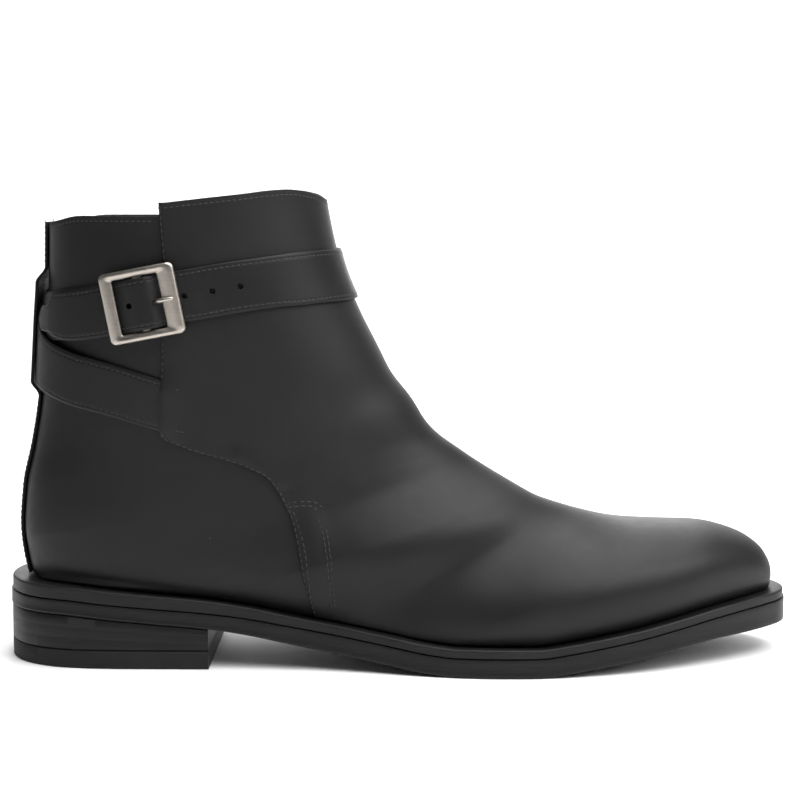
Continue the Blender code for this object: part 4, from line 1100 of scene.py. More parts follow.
@dataclass
class Upper:
    """Vamp, quarters and lining, with their seams."""

    form: UpperForm
    leather: bpy.types.Material
    lining: bpy.types.Material
    thread: bpy.types.Material
    panel_columns: int = 92
    quarter_columns: int = 46
    head_rows: int = 20
    fine: int = 6
    edge_soft: float = 0.0007
    lip: float = 0.00035
    seam_row: float = 0.0013
    collar_stitch: float = 0.0017
    soft_rows: tuple = (7.3, 11.0)
    soft_rounds: int = 400
    back_rows: int = 120
    collar_rough: float = 0.00009

    def levels(self) -> np.ndarray:
        """Rows of the sheets below the collar zone."""
        coarse = [1.9, 2.3, 2.65, 3.0, 3.4, 3.8, 4.2, 4.6, 4.9, 5.2, 5.5, 5.8, 6.2, 6.6, 7.0, 7.5,
                  8.0, 8.5, 9.0, 9.07, 9.14, 9.24, 9.37, 9.6, 10.0, 10.35, 10.7, 11.05, 11.4,
                  11.7, 12.0, 12.4, 12.8, 13.3, 13.8, 14.3, 14.8, 15.3, 15.75, 16.2, 16.6, 17.0,
                  17.5, 18.0, 18.5, 19.0, 19.5, 19.8, self.form.last_row]
        steps = np.arange((len(coarse) - 1) * self.fine + 1) / self.fine
        return np.interp(steps, np.arange(len(coarse)), coarse)

    def sheet(self, rows: np.ndarray, shares: np.ndarray, rises: np.ndarray, side: int,
              panel: bool) -> tuple:
        """Points of a leather sheet on one side, from the collar down.

        Args:
            rows: rows below the collar zone.
            shares: columns, from the seam (0) to the ridge or the back (1).
            rises: thickness of the sheet at the columns, as shares of the panel's.
            side: sign of y.
            panel: if the sheet is the front panel.

        Returns:
            The points and their directions off the leather.
        """
        seam = self.form.crossing(rows)
        last = self.form.section(rows, 0.0)[8]
        goal = np.zeros_like(last) if panel else last
        angle = seam[:, None] + (goal - seam)[:, None] * shares[None, :]
        row = np.repeat(rows[:, None], len(shares), axis=1)
        top_angle = angle[0]
        top = self.form.collar_row(top_angle, side, panel)
        drop = np.linspace(0, 1, self.head_rows, endpoint=False)[:, None]
        low = self.form.point(top, top_angle, side)
        slope = self.form.point(top + 0.1, top_angle, side)
        drop_row = self.lip / np.maximum(low[:, 2] - slope[:, 2], 1e-6) * 0.1
        head = (top + drop_row)[None, :] + (rows[0] - top - drop_row)[None, :] * drop
        row = np.vstack((head, row))
        angle = np.vstack((np.repeat(top_angle[None, :], self.head_rows, axis=0), angle))
        bare = self.form.point(row, angle, side, 0.0)
        proud = self.form.point(row, angle, side, S.panel)
        out = unit(proud - bare)
        relief = sum(stroke.height(bare) for stroke in STROKES + (LIFTS if panel else ()))
        relief = np.where(rises[None, :] < 0, 0.0, relief)
        points = bare + (proud - bare) * rises[None, :, None] + out * relief[..., None]
        self.soften(points, rows, 1.0 - (0.0 if panel else 1.0) * ease((shares - 0.75) / 0.2))
        return points, out

    def soften(self, points: np.ndarray, rows: np.ndarray, weights: np.ndarray) -> None:
        """Round the change from the shaft's sections to the foot's, column by column."""
        start, stop = (self.head_rows + int(np.argmax(rows > limit)) for limit in self.soft_rows)
        for _ in range(self.soft_rounds):
            middle = (points[start - 1:stop - 1] + points[start + 1:stop + 1]) / 2
            points[start:stop] += (middle - points[start:stop]) * 0.5 * weights[None, :, None]

    def collar(self, points: np.ndarray, out: np.ndarray, count: int = 7) -> np.ndarray:
        """Rings over the collar's edge.

        Args:
            points: points of the sheet, its edge first.
            out: directions off the leather there.
            count: number of rings.

        Returns:
            The rings, from the lining to the outer face.
        """
        outer, away = points[0], out[0]
        thick = S.wall + S.panel * 0.5
        rings = []
        for k in range(count):
            t = math.pi * k / count
            inward = thick * (1 + math.cos(t)) / 2
            rise = self.lip * math.sin(t) ** 0.7 if k else 0.0
            ring = outer - away * inward
            rough = np.array([noise.noise(Vector(p) * 900.0) for p in ring]) * self.collar_rough
            ring[:, 2] += rise + rough
            rings.append(ring)
        return np.array(rings)

    def seam_distance(self, points: np.ndarray, line: np.ndarray) -> np.ndarray:
        """Distance of each point to a line of points."""
        tree = KDTree(len(line))
        for i, spot in enumerate(line):
            tree.insert(spot, i)
        tree.balance()
        flat = points.reshape(-1, 3)
        return np.array([tree.find(spot)[2] for spot in flat]).reshape(points.shape[:-1])

    def contour(self, points: np.ndarray, out: np.ndarray, field_: np.ndarray,
                value: float) -> tuple:
        """Line on which a growing field reaches a value.

        Args:
            points: rows of points.
            out: directions off the leather there.
            field_: the field's numbers there.
            value: the value.

        Returns:
            The line's points and directions, one for each row that reaches it.
        """
        spots, ups = [], []
        for line, way, numbers in zip(points, out, field_):
            if numbers[-1] < value or numbers[0] > value:
                continue
            j = int(np.argmax(numbers >= value))
            if j == 0:
                continue
            t = (value - numbers[j - 1]) / max(numbers[j] - numbers[j - 1], 1e-9)
            spots.append(line[j - 1] * (1 - t) + line[j] * t)
            ups.append(way[j])
        return np.array(spots), np.array(ups)

    def build(self) -> None:
        """Make the sheets, the lining and the seams' threads."""
        rows = self.levels()
        edge = np.linspace(0, 1, 5)
        half = S.ankle_width / 2
        soft = self.edge_soft / half / 1.6
        spread = np.linspace(0, 1, self.panel_columns)
        spread = 0.55 * spread + 0.45 * spread ** 2.2
        shares = np.concatenate(((0.0,), soft * (1 - np.cos(edge * math.pi / 2)),
                                 soft + (1 - soft) * spread[1:]))
        rises = np.concatenate(((-0.15,), np.sin(edge * math.pi / 2), np.ones(len(spread) - 1)))
        seams = Stitching("seam_stitches", pitch=0.0024, length=0.0019, radius=0.00021,
                          finish=self.thread)
        rims = Stitching("collar_stitches", pitch=0.0021, length=0.0016, radius=0.00020,
                         finish=self.thread)

        sheets = []
        for side in Side:
            points, out = self.sheet(rows, shares, rises, side.value, True)
            line = points[:, 1][:self.head_rows + int(np.argmax(rows > 12.0))]
            seam = self.seam_distance(points, line)
            sheets.append((points, out, seam))
            spots, ups = self.contour(points, out, seam, self.seam_row)
            seams.add(spots[3:], ups[3:])
        points, out, seam = (np.concatenate((a, b[:, -2::-1]), axis=1) for a, b in zip(*sheets))
        self.dress("vamp", points, out, seam, rims, "upper")

        spread = np.linspace(0, 1, self.quarter_columns)
        under = -0.004 / half * np.array([1.0, 0.5])
        shares = np.concatenate((under, spread))
        stop = int(np.argmax(self.form.crossing(rows) >= self.form.section(rows, 0.0)[8] - 1e-6))
        sheets = [self.sheet(rows[:stop + 1], shares, np.zeros(len(shares)), side.value, False)
                  for side in Side]
        points, out = (np.concatenate((a, b[:, ::-1]), axis=1) for a, b in zip(*sheets))
        self.dress("quarters", points, out, None, rims)
        self.build_lining(rows)
        self.tab_rows(seams)
        Builder.place(seams.build(), Slot.UPPER)
        Builder.place(rims.build(), Slot.UPPER)

    def dress(self, name: str, points: np.ndarray, out: np.ndarray, seam: np.ndarray | None,
              rims: Stitching, *nodes: str) -> None:
        """Close a sheet's collar edge, dress the sheet and place it.

        Args:
            name: its name.
            points: its grid of points, from the collar down.
            out: directions off the leather there.
            seam: distances to the side seam, or None for the quarters.
            rims: takes the stitch row under the collar's edge.
            nodes: solids that it stands for.
        """
        rings = self.collar(points, out)
        top, whole = len(rings), np.concatenate((rings, points))
        columns = whole.shape[1]
        cut = np.zeros(whole.shape[:2])
        cut[:top + 1] = 1.0
        cut[top + 1:top + 3] = 0.4
        low = points[0, :, 2][None, :] - points[:, :, 2]
        near = np.abs(low - self.collar_stitch) + self.seam_row
        faces = Builder.grid(whole.shape[0], columns)
        if seam is None:
            open_row = top + self.head_rows + self.back_rows
            faces = [f for f in faces
                     if f[0] % columns != columns // 2 - 1 or f[0] // columns <= open_row]
        else:
            near = np.minimum(seam, near)
            cut[top:, :3] = cut[top:, -3:] = 0.8
        near = np.concatenate((np.full(rings.shape[:2], 0.01), near))
        piece = Builder.mesh(name, whole.reshape(-1, 3), faces, self.leather,
                             {"seam": near.ravel(), "cut": cut.ravel()}, 1e-7)
        self.face_out(piece)
        Builder.place(piece, Slot.UPPER, *nodes)
        self.rim_row(points, out, rims)

    def tab_rows(self, seams: Stitching) -> None:
        """Lay the double rows of the tab, on both sides."""
        for path in TAB_ROWS:
            table = np.array(path)
            order = np.arange(len(table), dtype=float)
            steps = np.linspace(0.0, order[-1], 12 * len(table))
            x = S.rear + Curve(np.column_stack((order, table[:, 0])))(steps) * S.sole_length
            z = Curve(np.column_stack((order, table[:, 1])))(steps) * S.shaft_height
            row, angle = self.form.locate(x, z, S.panel)
            for side in Side:
                bare = self.form.point(row, angle, side.value)
                proud = self.form.point(row, angle, side.value, S.panel)
                out = unit(proud - bare)
                relief = sum(stroke.height(bare) for stroke in STROKES)
                seams.add(proud + out * relief[:, None], out)

    def rim_row(self, points: np.ndarray, out: np.ndarray, rims: Stitching) -> None:
        """Lay the stitch row under the collar's edge."""
        fall = points[0, :, 2][:, None] - points[:, :, 2].T
        spots, ups = self.contour(points.transpose(1, 0, 2), out.transpose(1, 0, 2), fall,
                                  self.collar_stitch)
        rims.add(spots[4:-4], ups[4:-4])

    def face_out(self, piece: bpy.types.Object) -> None:
        """Turn a sheet's faces away from the middle of the boot."""
        mesh = piece.data
        count = len(mesh.polygons)
        normals, centres = np.zeros(count * 3), np.zeros(count * 3)
        mesh.polygons.foreach_get("normal", normals)
        mesh.polygons.foreach_get("center", centres)
        normals, centres = normals.reshape(-1, 3), centres.reshape(-1, 3)
        if float(np.sum(normals[:, 1] * centres[:, 1])) < 0:
            mesh.flip_normals()

    def build_lining(self, rows: np.ndarray) -> None:
        """Make the inner sheet, from the collar's inner edge to the foot."""
        shares = np.linspace(0, 1, 26)
        rows = rows[::3]
        parts = []
        for side in Side:
            for panel in (False, True):
                seam = self.form.crossing(rows)
                last = self.form.section(rows, 0.0)[8]
                goal = np.zeros_like(last) if panel else last
                angle = seam[:, None] + (goal - seam)[:, None] * shares[None, :]
                top = self.form.collar_row(angle[0], side.value, panel)
                drop = np.linspace(0, 1, 8, endpoint=False)[:, None]
                head = top[None, :] + 0.02 + (rows[0] - top - 0.02)[None, :] * drop
                row = np.vstack((head, np.repeat(rows[:, None], len(shares), axis=1)))
                angle = np.vstack((np.repeat(angle[:1], 8, axis=0), angle))
                parts.append(self.form.point(row, angle, side.value, -S.wall))
        points, faces, start = [], [], 0
        for index, part in enumerate(parts):
            flat = part.reshape(-1, 3)
            grid = Builder.grid(part.shape[0], part.shape[1], flip=index in (1, 2))
            faces += [[v + start for v in face] for face in grid]
            points.append(flat)
            start += len(flat)
        piece = Builder.mesh("lining", np.vstack(points), faces, self.lining, None, 1e-7)
        Builder.place(piece, Slot.LINING)


@dataclass
class StrapForm:
    """Where the straps run on the shaft."""

    form: UpperForm

    def __post_init__(self) -> None:
        """Set up the lines and the buckle's place."""
        self.wrap = Curve(WRAP_LINE)
        self.short = Curve(BUCKLE_LINE)
        self.lift, self.lift_panel = curves(WRAP_LIFT)
        self.tip_low, self.tip_high = curves(TIP)
        self.seat = self.form.heel_seat + S.gap
        turns = np.linspace(0.3, 2.99, 1200)
        xs = self.spot(turns, self.height(self.wrap, turns), 0.0)[..., 0]
        self.turns, self.xs = turns, xs
        self.buckle_x = float(self.wrap_x(np.array([S.buckle_turn]))[0])
        ends = np.array([S.buckle_turn - 0.04, S.buckle_turn + 0.04])
        dx = float(np.diff(self.wrap_x(ends))[0])
        dz = float(np.diff(self.height(self.wrap, ends))[0])
        self.tilt = math.atan2(-dz, -dx)
        self.middle_z = float(self.height(self.wrap, np.array([S.buckle_turn]))[0])

    @staticmethod
    def turned(turn: np.ndarray) -> tuple:
        """Angle and side at a turn."""
        place = np.mod(turn, 2.0)
        return np.where(place <= 1, place, 2 - place) * math.pi, np.where(place <= 1, -1.0, 1.0)

    def spot(self, turn: np.ndarray, z: np.ndarray, offset: float | np.ndarray) -> np.ndarray:
        """Points of the shaft at turns and heights."""
        angle, side = self.turned(turn)
        offset = offset + np.zeros(np.broadcast(angle, z).shape)
        row = self.form.row_at(angle, side, z, offset)
        return self.form.point(row, angle, side, offset)

    def height(self, line: Curve, turn: np.ndarray) -> np.ndarray:
        """Height of a strap's middle."""
        return self.seat + line(turn) * S.shaft_height

    def wrap_x(self, turn: np.ndarray) -> np.ndarray:
        """Forward position of the wrap strap's middle."""
        return np.interp(turn, self.turns, self.xs)

    def reach(self, line: Curve, turn: np.ndarray) -> np.ndarray:
        """Half of the strap's width, measured upright."""
        step = 0.004
        a = self.spot(turn - step, self.height(line, turn - step), 0.0)
        b = self.spot(turn + step, self.height(line, turn + step), 0.0)
        level = np.hypot(b[..., 0] - a[..., 0], b[..., 1] - a[..., 1])
        return S.strap_width / 2 * np.hypot(level, b[..., 2] - a[..., 2]) / level

    def at(self, x: np.ndarray, z: np.ndarray, offset: float | np.ndarray) -> np.ndarray:
        """Points on the shaft's outer side.

        Args:
            x: their forward positions.
            z: their heights.
            offset: distance over the quarter leather.

        Returns:
            The points.
        """
        offset = offset + np.zeros(np.broadcast(x, z).shape)
        angle = np.full(offset.shape, math.pi / 2)
        row = angle
        for _ in range(5):
            row = self.form.row_at(angle, -1.0, z, offset)
            low, _, high, _, _, _, front, back, _ = self.form.section(row, offset)
            share = np.clip(2 * (x - low) / (high - low) - 1, -1.0, 1.0)
            power = np.where(share > 0, front, back)
            angle = np.arccos(np.sign(share) * np.abs(share) ** (1 / power))
        return self.form.point(row, angle, -1.0, offset)

    def buckle_turn(self, fore: np.ndarray) -> np.ndarray:
        """Turn at a distance along the strap from the buckle's middle."""
        keep = (self.turns > S.buckle_turn - 0.4) & (self.turns < S.buckle_turn + 0.3)
        order = np.argsort(self.xs[keep])
        target = self.buckle_x + fore * math.cos(self.tilt)
        return np.interp(target, self.xs[keep][order], self.turns[keep][order])

    def bar_rise(self, fore: np.ndarray) -> np.ndarray:
        """Share of the strap's rise over the hidden centre bar."""
        top = S.bar_width / 2 + 2 * S.gap
        bars = np.where(fore > 0, S.buckle_fore, S.buckle_rear)
        foot = S.buckle_length / 2 - bars - S.gap
        return ease((foot - np.abs(fore)) / (foot - top))

    def wrap_offset(self, turn: np.ndarray) -> np.ndarray:
        """Underside of the wrap strap above the quarter leather."""
        under = S.gap + self.lift(turn) * S.layer + self.lift_panel(turn) * S.panel
        fore = (self.wrap_x(turn) - self.buckle_x) / math.cos(self.tilt)
        near = np.abs(turn - S.buckle_turn) < 0.3
        return under + np.where(near, self.bar_rise(fore) * (S.bar_thick + S.gap), 0.0)

    def buckle_spot(self, fore: np.ndarray, up: np.ndarray, offset: float | np.ndarray,
                    on_line: bool = False) -> np.ndarray:
        """Points over the shaft, fore along the strap from the buckle's middle, up across it."""
        x = self.buckle_x + fore * math.cos(self.tilt) - up * math.sin(self.tilt)
        z = self.middle_z + fore * math.sin(self.tilt) + up * math.cos(self.tilt)
        if on_line:
            z = self.height(self.wrap, self.buckle_turn(fore)) + up * math.cos(self.tilt)
        return self.at(x, z, offset)


@dataclass
class Straps:
    """Both straps and the back stay, with their stitches and holes."""

    lines: StrapForm
    leather: bpy.types.Material
    thread: bpy.types.Material
    stitch_inset: float = 0.0017
    edge_round: float = 0.00045
    channel: float = 0.0012
    cut_tone: float = 0.85
    edge_dip: float = 0.00016
    dip_width: float = 0.0022
    across: int = 25
    stay_inset: float = 0.0016
    stay_start: float = 0.004
    stay_rings: int = 220
    keeper_share: float = 1.98
    keeper_slope: float = 0.006
    keeper_free: float = 0.008

    def profile(self) -> tuple:
        """Cross-section of a strap: places across from -1 to 1, and heights from 0 to 1."""
        lim = self.edge_round / (S.strap_width / 2)
        rise = self.edge_round / S.strap_thick
        turn = np.linspace(0, math.pi / 2, 4)
        low_turn = turn[::-1]
        left = [(-1 + lim * (1 - math.sin(a)), 1 - rise * (1 - math.cos(a))) for a in low_turn]
        inner = [(u, 1.0) for u in np.linspace(-1 + 2 * lim, 1 - 2 * lim, self.across)]
        right = [(1 - lim * (1 - math.sin(a)), 1 - rise * (1 - math.cos(a))) for a in turn]
        under = [(1.0, 0.25), (1 - lim, 0.0), (0.5, 0.0), (0.0, 0.0), (-0.5, 0.0), (-1 + lim, 0.0),
                 (-1.0, 0.25)]
        table = np.array(left + inner + right + under)
        return table[:, 0], table[:, 1]

    def strap(self, name: str, line: Curve, turns: np.ndarray, under: np.ndarray,
              ends: tuple | None, stitches: Stitching) -> bpy.types.Object:
        """Make one strap.

        Args:
            name: its name.
            line: heights of its middle over the turns.
            turns: stations.
            under: its underside above the quarter leather at the stations.
            ends: lower and upper edge as shares of half the width, or None.
            stitches: takes the rows along its edges.

        Returns:
            The strap.
        """
        across, share = self.profile()
        middle, reach = self.lines.height(line, turns), self.lines.reach(line, turns)
        low, high = ends if ends is not None else (-np.ones_like(turns), np.ones_like(turns))
        square = ease((0.30 - np.abs(turns - S.buckle_turn)) / 0.10)
        reach = reach * (1 - square * math.sin(self.lines.tilt) ** 2)

        def place(u: np.ndarray, height: np.ndarray) -> np.ndarray:
            """Points at places across the strap and heights in its thickness."""
            spot = low[:, None] + (high - low)[:, None] * (u[None, :] + 1) / 2
            rise = reach[:, None] * spot
            edge = 1 - ease((1 - np.abs(u)) * S.strap_width / 2 / self.dip_width)
            rounded = height * S.strap_thick - self.edge_dip * edge * (height > 0.5)
            offset = under[:, None] + rounded[None, :]
            turn = np.repeat(turns[:, None], len(u), axis=1)
            z = middle[:, None] + rise
            plain = self.lines.spot(turn, z, offset)
            x = self.lines.wrap_x(turn) - square[:, None] * rise * math.tan(self.lines.tilt)
            near = square > 0
            if near.any():
                plain[near] = self.lines.at(x[near], z[near], offset[near])
            return plain

        edge = (1 - np.abs(across)) * S.strap_width / 2
        cut = np.where((share < 0.95) | (np.abs(across) > 1 - 0.0004 / S.strap_width),
                       self.cut_tone, 0.0)
        piece = self.band(name, place(across, share), np.abs(edge - self.stitch_inset), cut)
        lift = np.ones(1)
        for sign in (-1.0, 1.0):
            u = np.array([sign * (1 - self.stitch_inset / (S.strap_width / 2))])
            row = place(u, lift)[:, 0]
            above = place(u, lift + 0.5)[:, 0]
            stitches.add(row, above - row)
        return piece

    def band(self, name: str, rings: np.ndarray, row: np.ndarray,
             cut: np.ndarray) -> bpy.types.Object:
        """Make a leather band, from distances to its stitch row and marks of its cut edges."""
        return Builder.loft(name, rings, self.leather, {
            "seam": np.tile(row + self.channel, len(rings)), "cut": np.tile(cut, len(rings))})

    def build(self) -> None:
        """Make the straps, the stay and their stitches."""
        lines = self.lines
        rows = Stitching("strap_stitches", pitch=0.0021, length=0.0016, radius=0.00019,
                         finish=self.thread)
        angle = math.pi / 2
        z = lines.height(lines.wrap, np.array([WRAP_LINE[0][0]]))
        row = lines.form.row_at(np.array([angle]), -1.0, z)
        seam = float(lines.form.crossing(row)[0]) / math.pi
        turns = np.linspace(seam - S.tuck, S.wrap_end, 520)
        ends = (lines.tip_low(S.wrap_end - turns), lines.tip_high(S.wrap_end - turns))
        wrap = self.strap("wrap_strap_leather", lines.wrap, turns, lines.wrap_offset(turns), ends,
                          rows)
        self.punch(wrap)
        Builder.place(wrap, Slot.STRAP, "wrap_strap")
        turns = np.linspace(S.buckle_turn - 2.004, 2.0 - seam + S.tuck, 260)
        short = self.strap("buckle_strap_leather", lines.short, turns, np.full(len(turns), S.gap),
                           None, rows)
        Builder.place(short, Slot.STRAP, "buckle_strap")
        self.stay(rows)
        Builder.place(rows.build(), Slot.STRAP)

    def punch(self, strap: bpy.types.Object) -> None:
        """Punch the adjusting holes through the wrap strap."""
        tools = []
        lines = self.lines
        turn = np.arange(20) * (2 * math.pi / 20)
        for n in range(S.hole_count):
            middle, reach = S.hole_first + n * S.hole_pitch, S.hole_width / 2
            rings = []
            for offset in (S.gap, S.gap + 2 * S.layer + 2 * S.bar_thick):
                rings.append(lines.buckle_spot(middle + reach * np.cos(turn), reach * np.sin(turn),
                                               offset, True))
            tool = Builder.loft("hole_%d" % n, np.array(rings), self.leather, smooth=180.0)
            tools.append(tool)
            modifier = strap.modifiers.new("hole", "BOOLEAN")
            modifier.operation, modifier.solver, modifier.object = "DIFFERENCE", "EXACT", tool
        bpy.context.view_layer.update()
        graph = bpy.context.evaluated_depsgraph_get()
        done = bpy.data.meshes.new_from_object(strap.evaluated_get(graph), depsgraph=graph)
        strap.modifiers.clear()
        strap.data = done
        done.set_sharp_from_angle(angle=math.radians(50.0))
        for tool in tools:
            bpy.data.objects.remove(tool, do_unlink=True)

    def stay(self, rows: Stitching) -> None:
        """Make the back stay, which bridges the straps where they cross."""
        lines, form = self.lines, self.lines.form
        middle = float(lines.height(lines.wrap, np.array([1.0]))[0])
        half_keeper = self.keeper_share * S.strap_width / 2
        low, high = middle - half_keeper, middle + half_keeper
        z = np.linspace(lines.seat + self.stay_start * S.shaft_height,
                        lines.seat - S.gap + S.collar_back, self.stay_rings)
        share = (z - lines.seat) / S.collar_back
        reach = (S.stay_width + S.stay_flare * (1 - share)) / 2
        slope = self.keeper_slope
        over = np.minimum(ease((z - low + slope) / slope), ease((high + slope - z) / slope))
        under = S.gap + 2 * S.layer * over
        pi = np.full(len(z), math.pi)
        row = form.row_at(pi, -1.0, z)
        section = form.section(row, 0.0)
        half, power = section[5], section[7]
        flat = np.linspace(-1, 1, 21)
        table = [(-1.0, 0.3), (-1.0, 0.65), (-1.0, 0.9)] + [(u, 1.0) for u in flat * 0.975]
        table += [(1.0, 0.9), (1.0, 0.65), (1.0, 0.3)]
        table += [(u, 0.0) for u in (0.97, 0.5, 0.0, -0.5, -0.97)]
        u, rise = np.array(table).T

        def place(u: np.ndarray, rise: np.ndarray) -> np.ndarray:
            """Points across the stay."""
            spot = np.abs(u)[None, :] * (reach / half)[:, None]
            angle = math.pi - np.arcsin(np.clip(spot, 0, 1) ** (1 / power[:, None]))
            side = np.repeat(np.where(u < 0, -1.0, 1.0)[None, :], len(z), axis=0)
            offset = under[:, None] + rise[None, :] * S.stay_thick
            return form.point(np.repeat(row[:, None], len(u), axis=1), angle, side, offset)

        edge = (1 - np.abs(u)) * S.stay_width / 2
        piece = self.band("back_stay_leather", place(u, rise), np.abs(edge - self.stay_inset),
                          np.where(rise < 0.95, self.cut_tone, 0.0))
        Builder.place(piece, Slot.STRAP, "back_stay")
        for sign in (-1.0, 1.0):
            spot = np.array([sign * (1 - self.stay_inset / (S.stay_width / 2))])
            line = place(spot, np.ones(1))[:, 0]
            above = place(spot, np.full(1, 1.5))[:, 0]
            for part in (z < low - self.keeper_free, z > high + self.keeper_free):
                rows.add(line[part], (above - line)[part])


@dataclass
class Buckle:
    """Brushed frame with its centre bar, and the prong."""

    lines: StrapForm
    metal: bpy.types.Material
    facets: int = 16
    prong_rings: int = 40

    @staticmethod
    def rectangle(rear: float, fore: float, half: float, radius: float) -> np.ndarray:
        """Rounded rectangle.

        Args:
            rear: its rear end.
            fore: its front end.
            half: half its height.
            radius: radius of its corners.

        Returns:
            Its (fore, up) points.
        """
        corners = ((fore, half, 0), (rear, half, 90), (rear, -half, 180), (fore, -half, 270))
        loop = []
        for n, (x, y, start) in enumerate(corners):
            cx = x - math.copysign(radius, x - (rear + fore) / 2)
            cy = y - math.copysign(radius, y)
            for k in range(9):
                a = math.radians(start + 11.25 * k)
                loop.append((cx + radius * math.cos(a), cy + radius * math.sin(a)))
            nx, ny, _ = corners[(n + 1) % 4]
            a = math.radians(start + 90)
            end = (nx - math.copysign(radius, nx - (rear + fore) / 2) + radius * math.cos(a),
                   ny - math.copysign(radius, ny) + radius * math.sin(a))
            begin = loop[-1]
            loop += [tuple(u + (v - u) * k / 14 for u, v in zip(begin, end))
                     for k in range(1, 14)]
        return np.array(loop)

    def build(self) -> None:
        """Make the frame and the prong."""
        lines = self.lines
        top = S.gap + 2 * S.layer
        window = S.strap_width / 2 + 2 * S.gap
        rear, fore, half = -S.buckle_length / 2, S.buckle_length / 2, window + S.buckle_rail
        outer = self.rectangle(rear, fore, half, S.buckle_round)
        inner = self.rectangle(rear + S.buckle_rear, fore - S.buckle_fore, window,
                               S.buckle_round * 0.3)
        profile = ((0.0, 0.0), (0.0, 0.45), (0.03, 0.68), (0.10, 0.86), (0.22, 0.97), (0.40, 1.0),
                   (0.58, 0.97), (0.74, 0.84), (0.90, 0.66), (0.98, 0.52), (1.0, 0.35), (1.0, 0.0))
        table = np.array(profile)
        loops = outer[None] + (inner - outer)[None] * table[:, 0, None, None]
        rise = np.repeat(table[:, 1, None], len(outer), axis=1)
        rings = lines.buckle_spot(loops[..., 0], loops[..., 1], top + rise * S.buckle_thick)
        count, size = rings.shape[:2]
        faces = Builder.grid(count, size, closed=True)
        faces += [[(count - 1) * size + j, (count - 1) * size + (j + 1) % size, (j + 1) % size, j]
                  for j in range(size)]
        # Painted shade: darkest at the frame's base by the strap and inside its window, none on
        # top.
        recess_shade = np.repeat((0.9, 0.5, 0.1, 0.0, 0.0, 0.0, 0.0, 0.1, 0.3, 0.6, 0.8, 1.0), size)
        frame_piece = Builder.mesh("buckle_frame_metal", rings.reshape(-1, 3), faces, self.metal,
                                   {"recess_shade": recess_shade}, smooth=60.0)
        Builder.outward(frame_piece)
        Builder.place(frame_piece, Slot.METAL, "buckle_frame")
        self.bar()
        self.prong(top)

    def bar(self) -> None:
        """Make the hidden centre bar."""
        ups = np.linspace(-1, 1, 15) * (S.strap_width / 2 + 2 * S.gap + S.buckle_rail * 0.6)
        turn = np.arange(self.facets) * (2 * math.pi / self.facets)
        across = S.bar_width / 2 * np.sign(np.cos(turn)) * np.abs(np.cos(turn)) ** 0.5
        height = S.bar_thick / 2 * (1 + np.sign(np.sin(turn)) * np.abs(np.sin(turn)) ** 0.5)
        flat = np.zeros((len(ups), self.facets))
        rings = self.lines.buckle_spot(flat + across, flat + ups[:, None],
                                       flat + S.gap + S.layer + height)
        # The hidden bar is painted dark as shade.
        piece = Builder.loft("buckle_bar_metal", rings, self.metal,
                             {"recess_shade": np.full(len(ups) * self.facets, 0.8)}, 60.0)
        Builder.place(piece, Slot.METAL)

    def prong(self, top: float) -> None:
        """Make the prong, from the bar through the strap to the front bar."""
        radius = S.prong_width / 2
        rest = top + S.buckle_thick + S.gap + radius
        bar_top = S.gap + S.layer + S.bar_thick
        under = bar_top - radius - 0.0006
        bar_edge, fore_bar = S.bar_width / 2, S.buckle_length / 2 - S.buckle_fore
        path = np.array(((bar_edge + S.gap + radius, under), (bar_edge + 0.0028, under + 0.0004),
                         (fore_bar - 0.0021, (under + rest) / 2 - 0.0002),
                         (fore_bar - 0.0010, rest - 0.0006), (fore_bar + 0.0006, rest),
                         (fore_bar + S.buckle_fore * 0.72, rest)))
        steps = np.linspace(0, len(path) - 1, self.prong_rings)
        x = np.interp(steps, np.arange(len(path)), path[:, 0])
        z = np.interp(steps, np.arange(len(path)), path[:, 1])
        for _ in range(6):
            x[1:-1] = (x[:-2] + 2 * x[1:-1] + x[2:]) / 4
            z[1:-1] = (z[:-2] + 2 * z[1:-1] + z[2:]) / 4
        dx, dz = np.gradient(x), np.gradient(z)
        size = np.hypot(dx, dz)
        nx, nz = -dz / size, dx / size
        reach = np.linspace(0.0, 1.0, self.prong_rings)
        slim = np.sqrt(np.clip(1 - reach ** 14, 0.03, 1.0))
        turn = np.arange(self.facets) * (2 * math.pi / self.facets)
        wide = (radius * slim)[:, None]
        rings = self.lines.buckle_spot(x[:, None] + wide * np.sin(turn) * nx[:, None],
                                       wide * np.cos(turn),
                                       z[:, None] + wide * np.sin(turn) * nz[:, None])
        piece = Builder.loft("buckle_prong_metal", rings, self.metal,
                             {"recess_shade": np.zeros(self.prong_rings * self.facets)}, 60.0)
        Builder.place(piece, Slot.METAL, "buckle_prong")


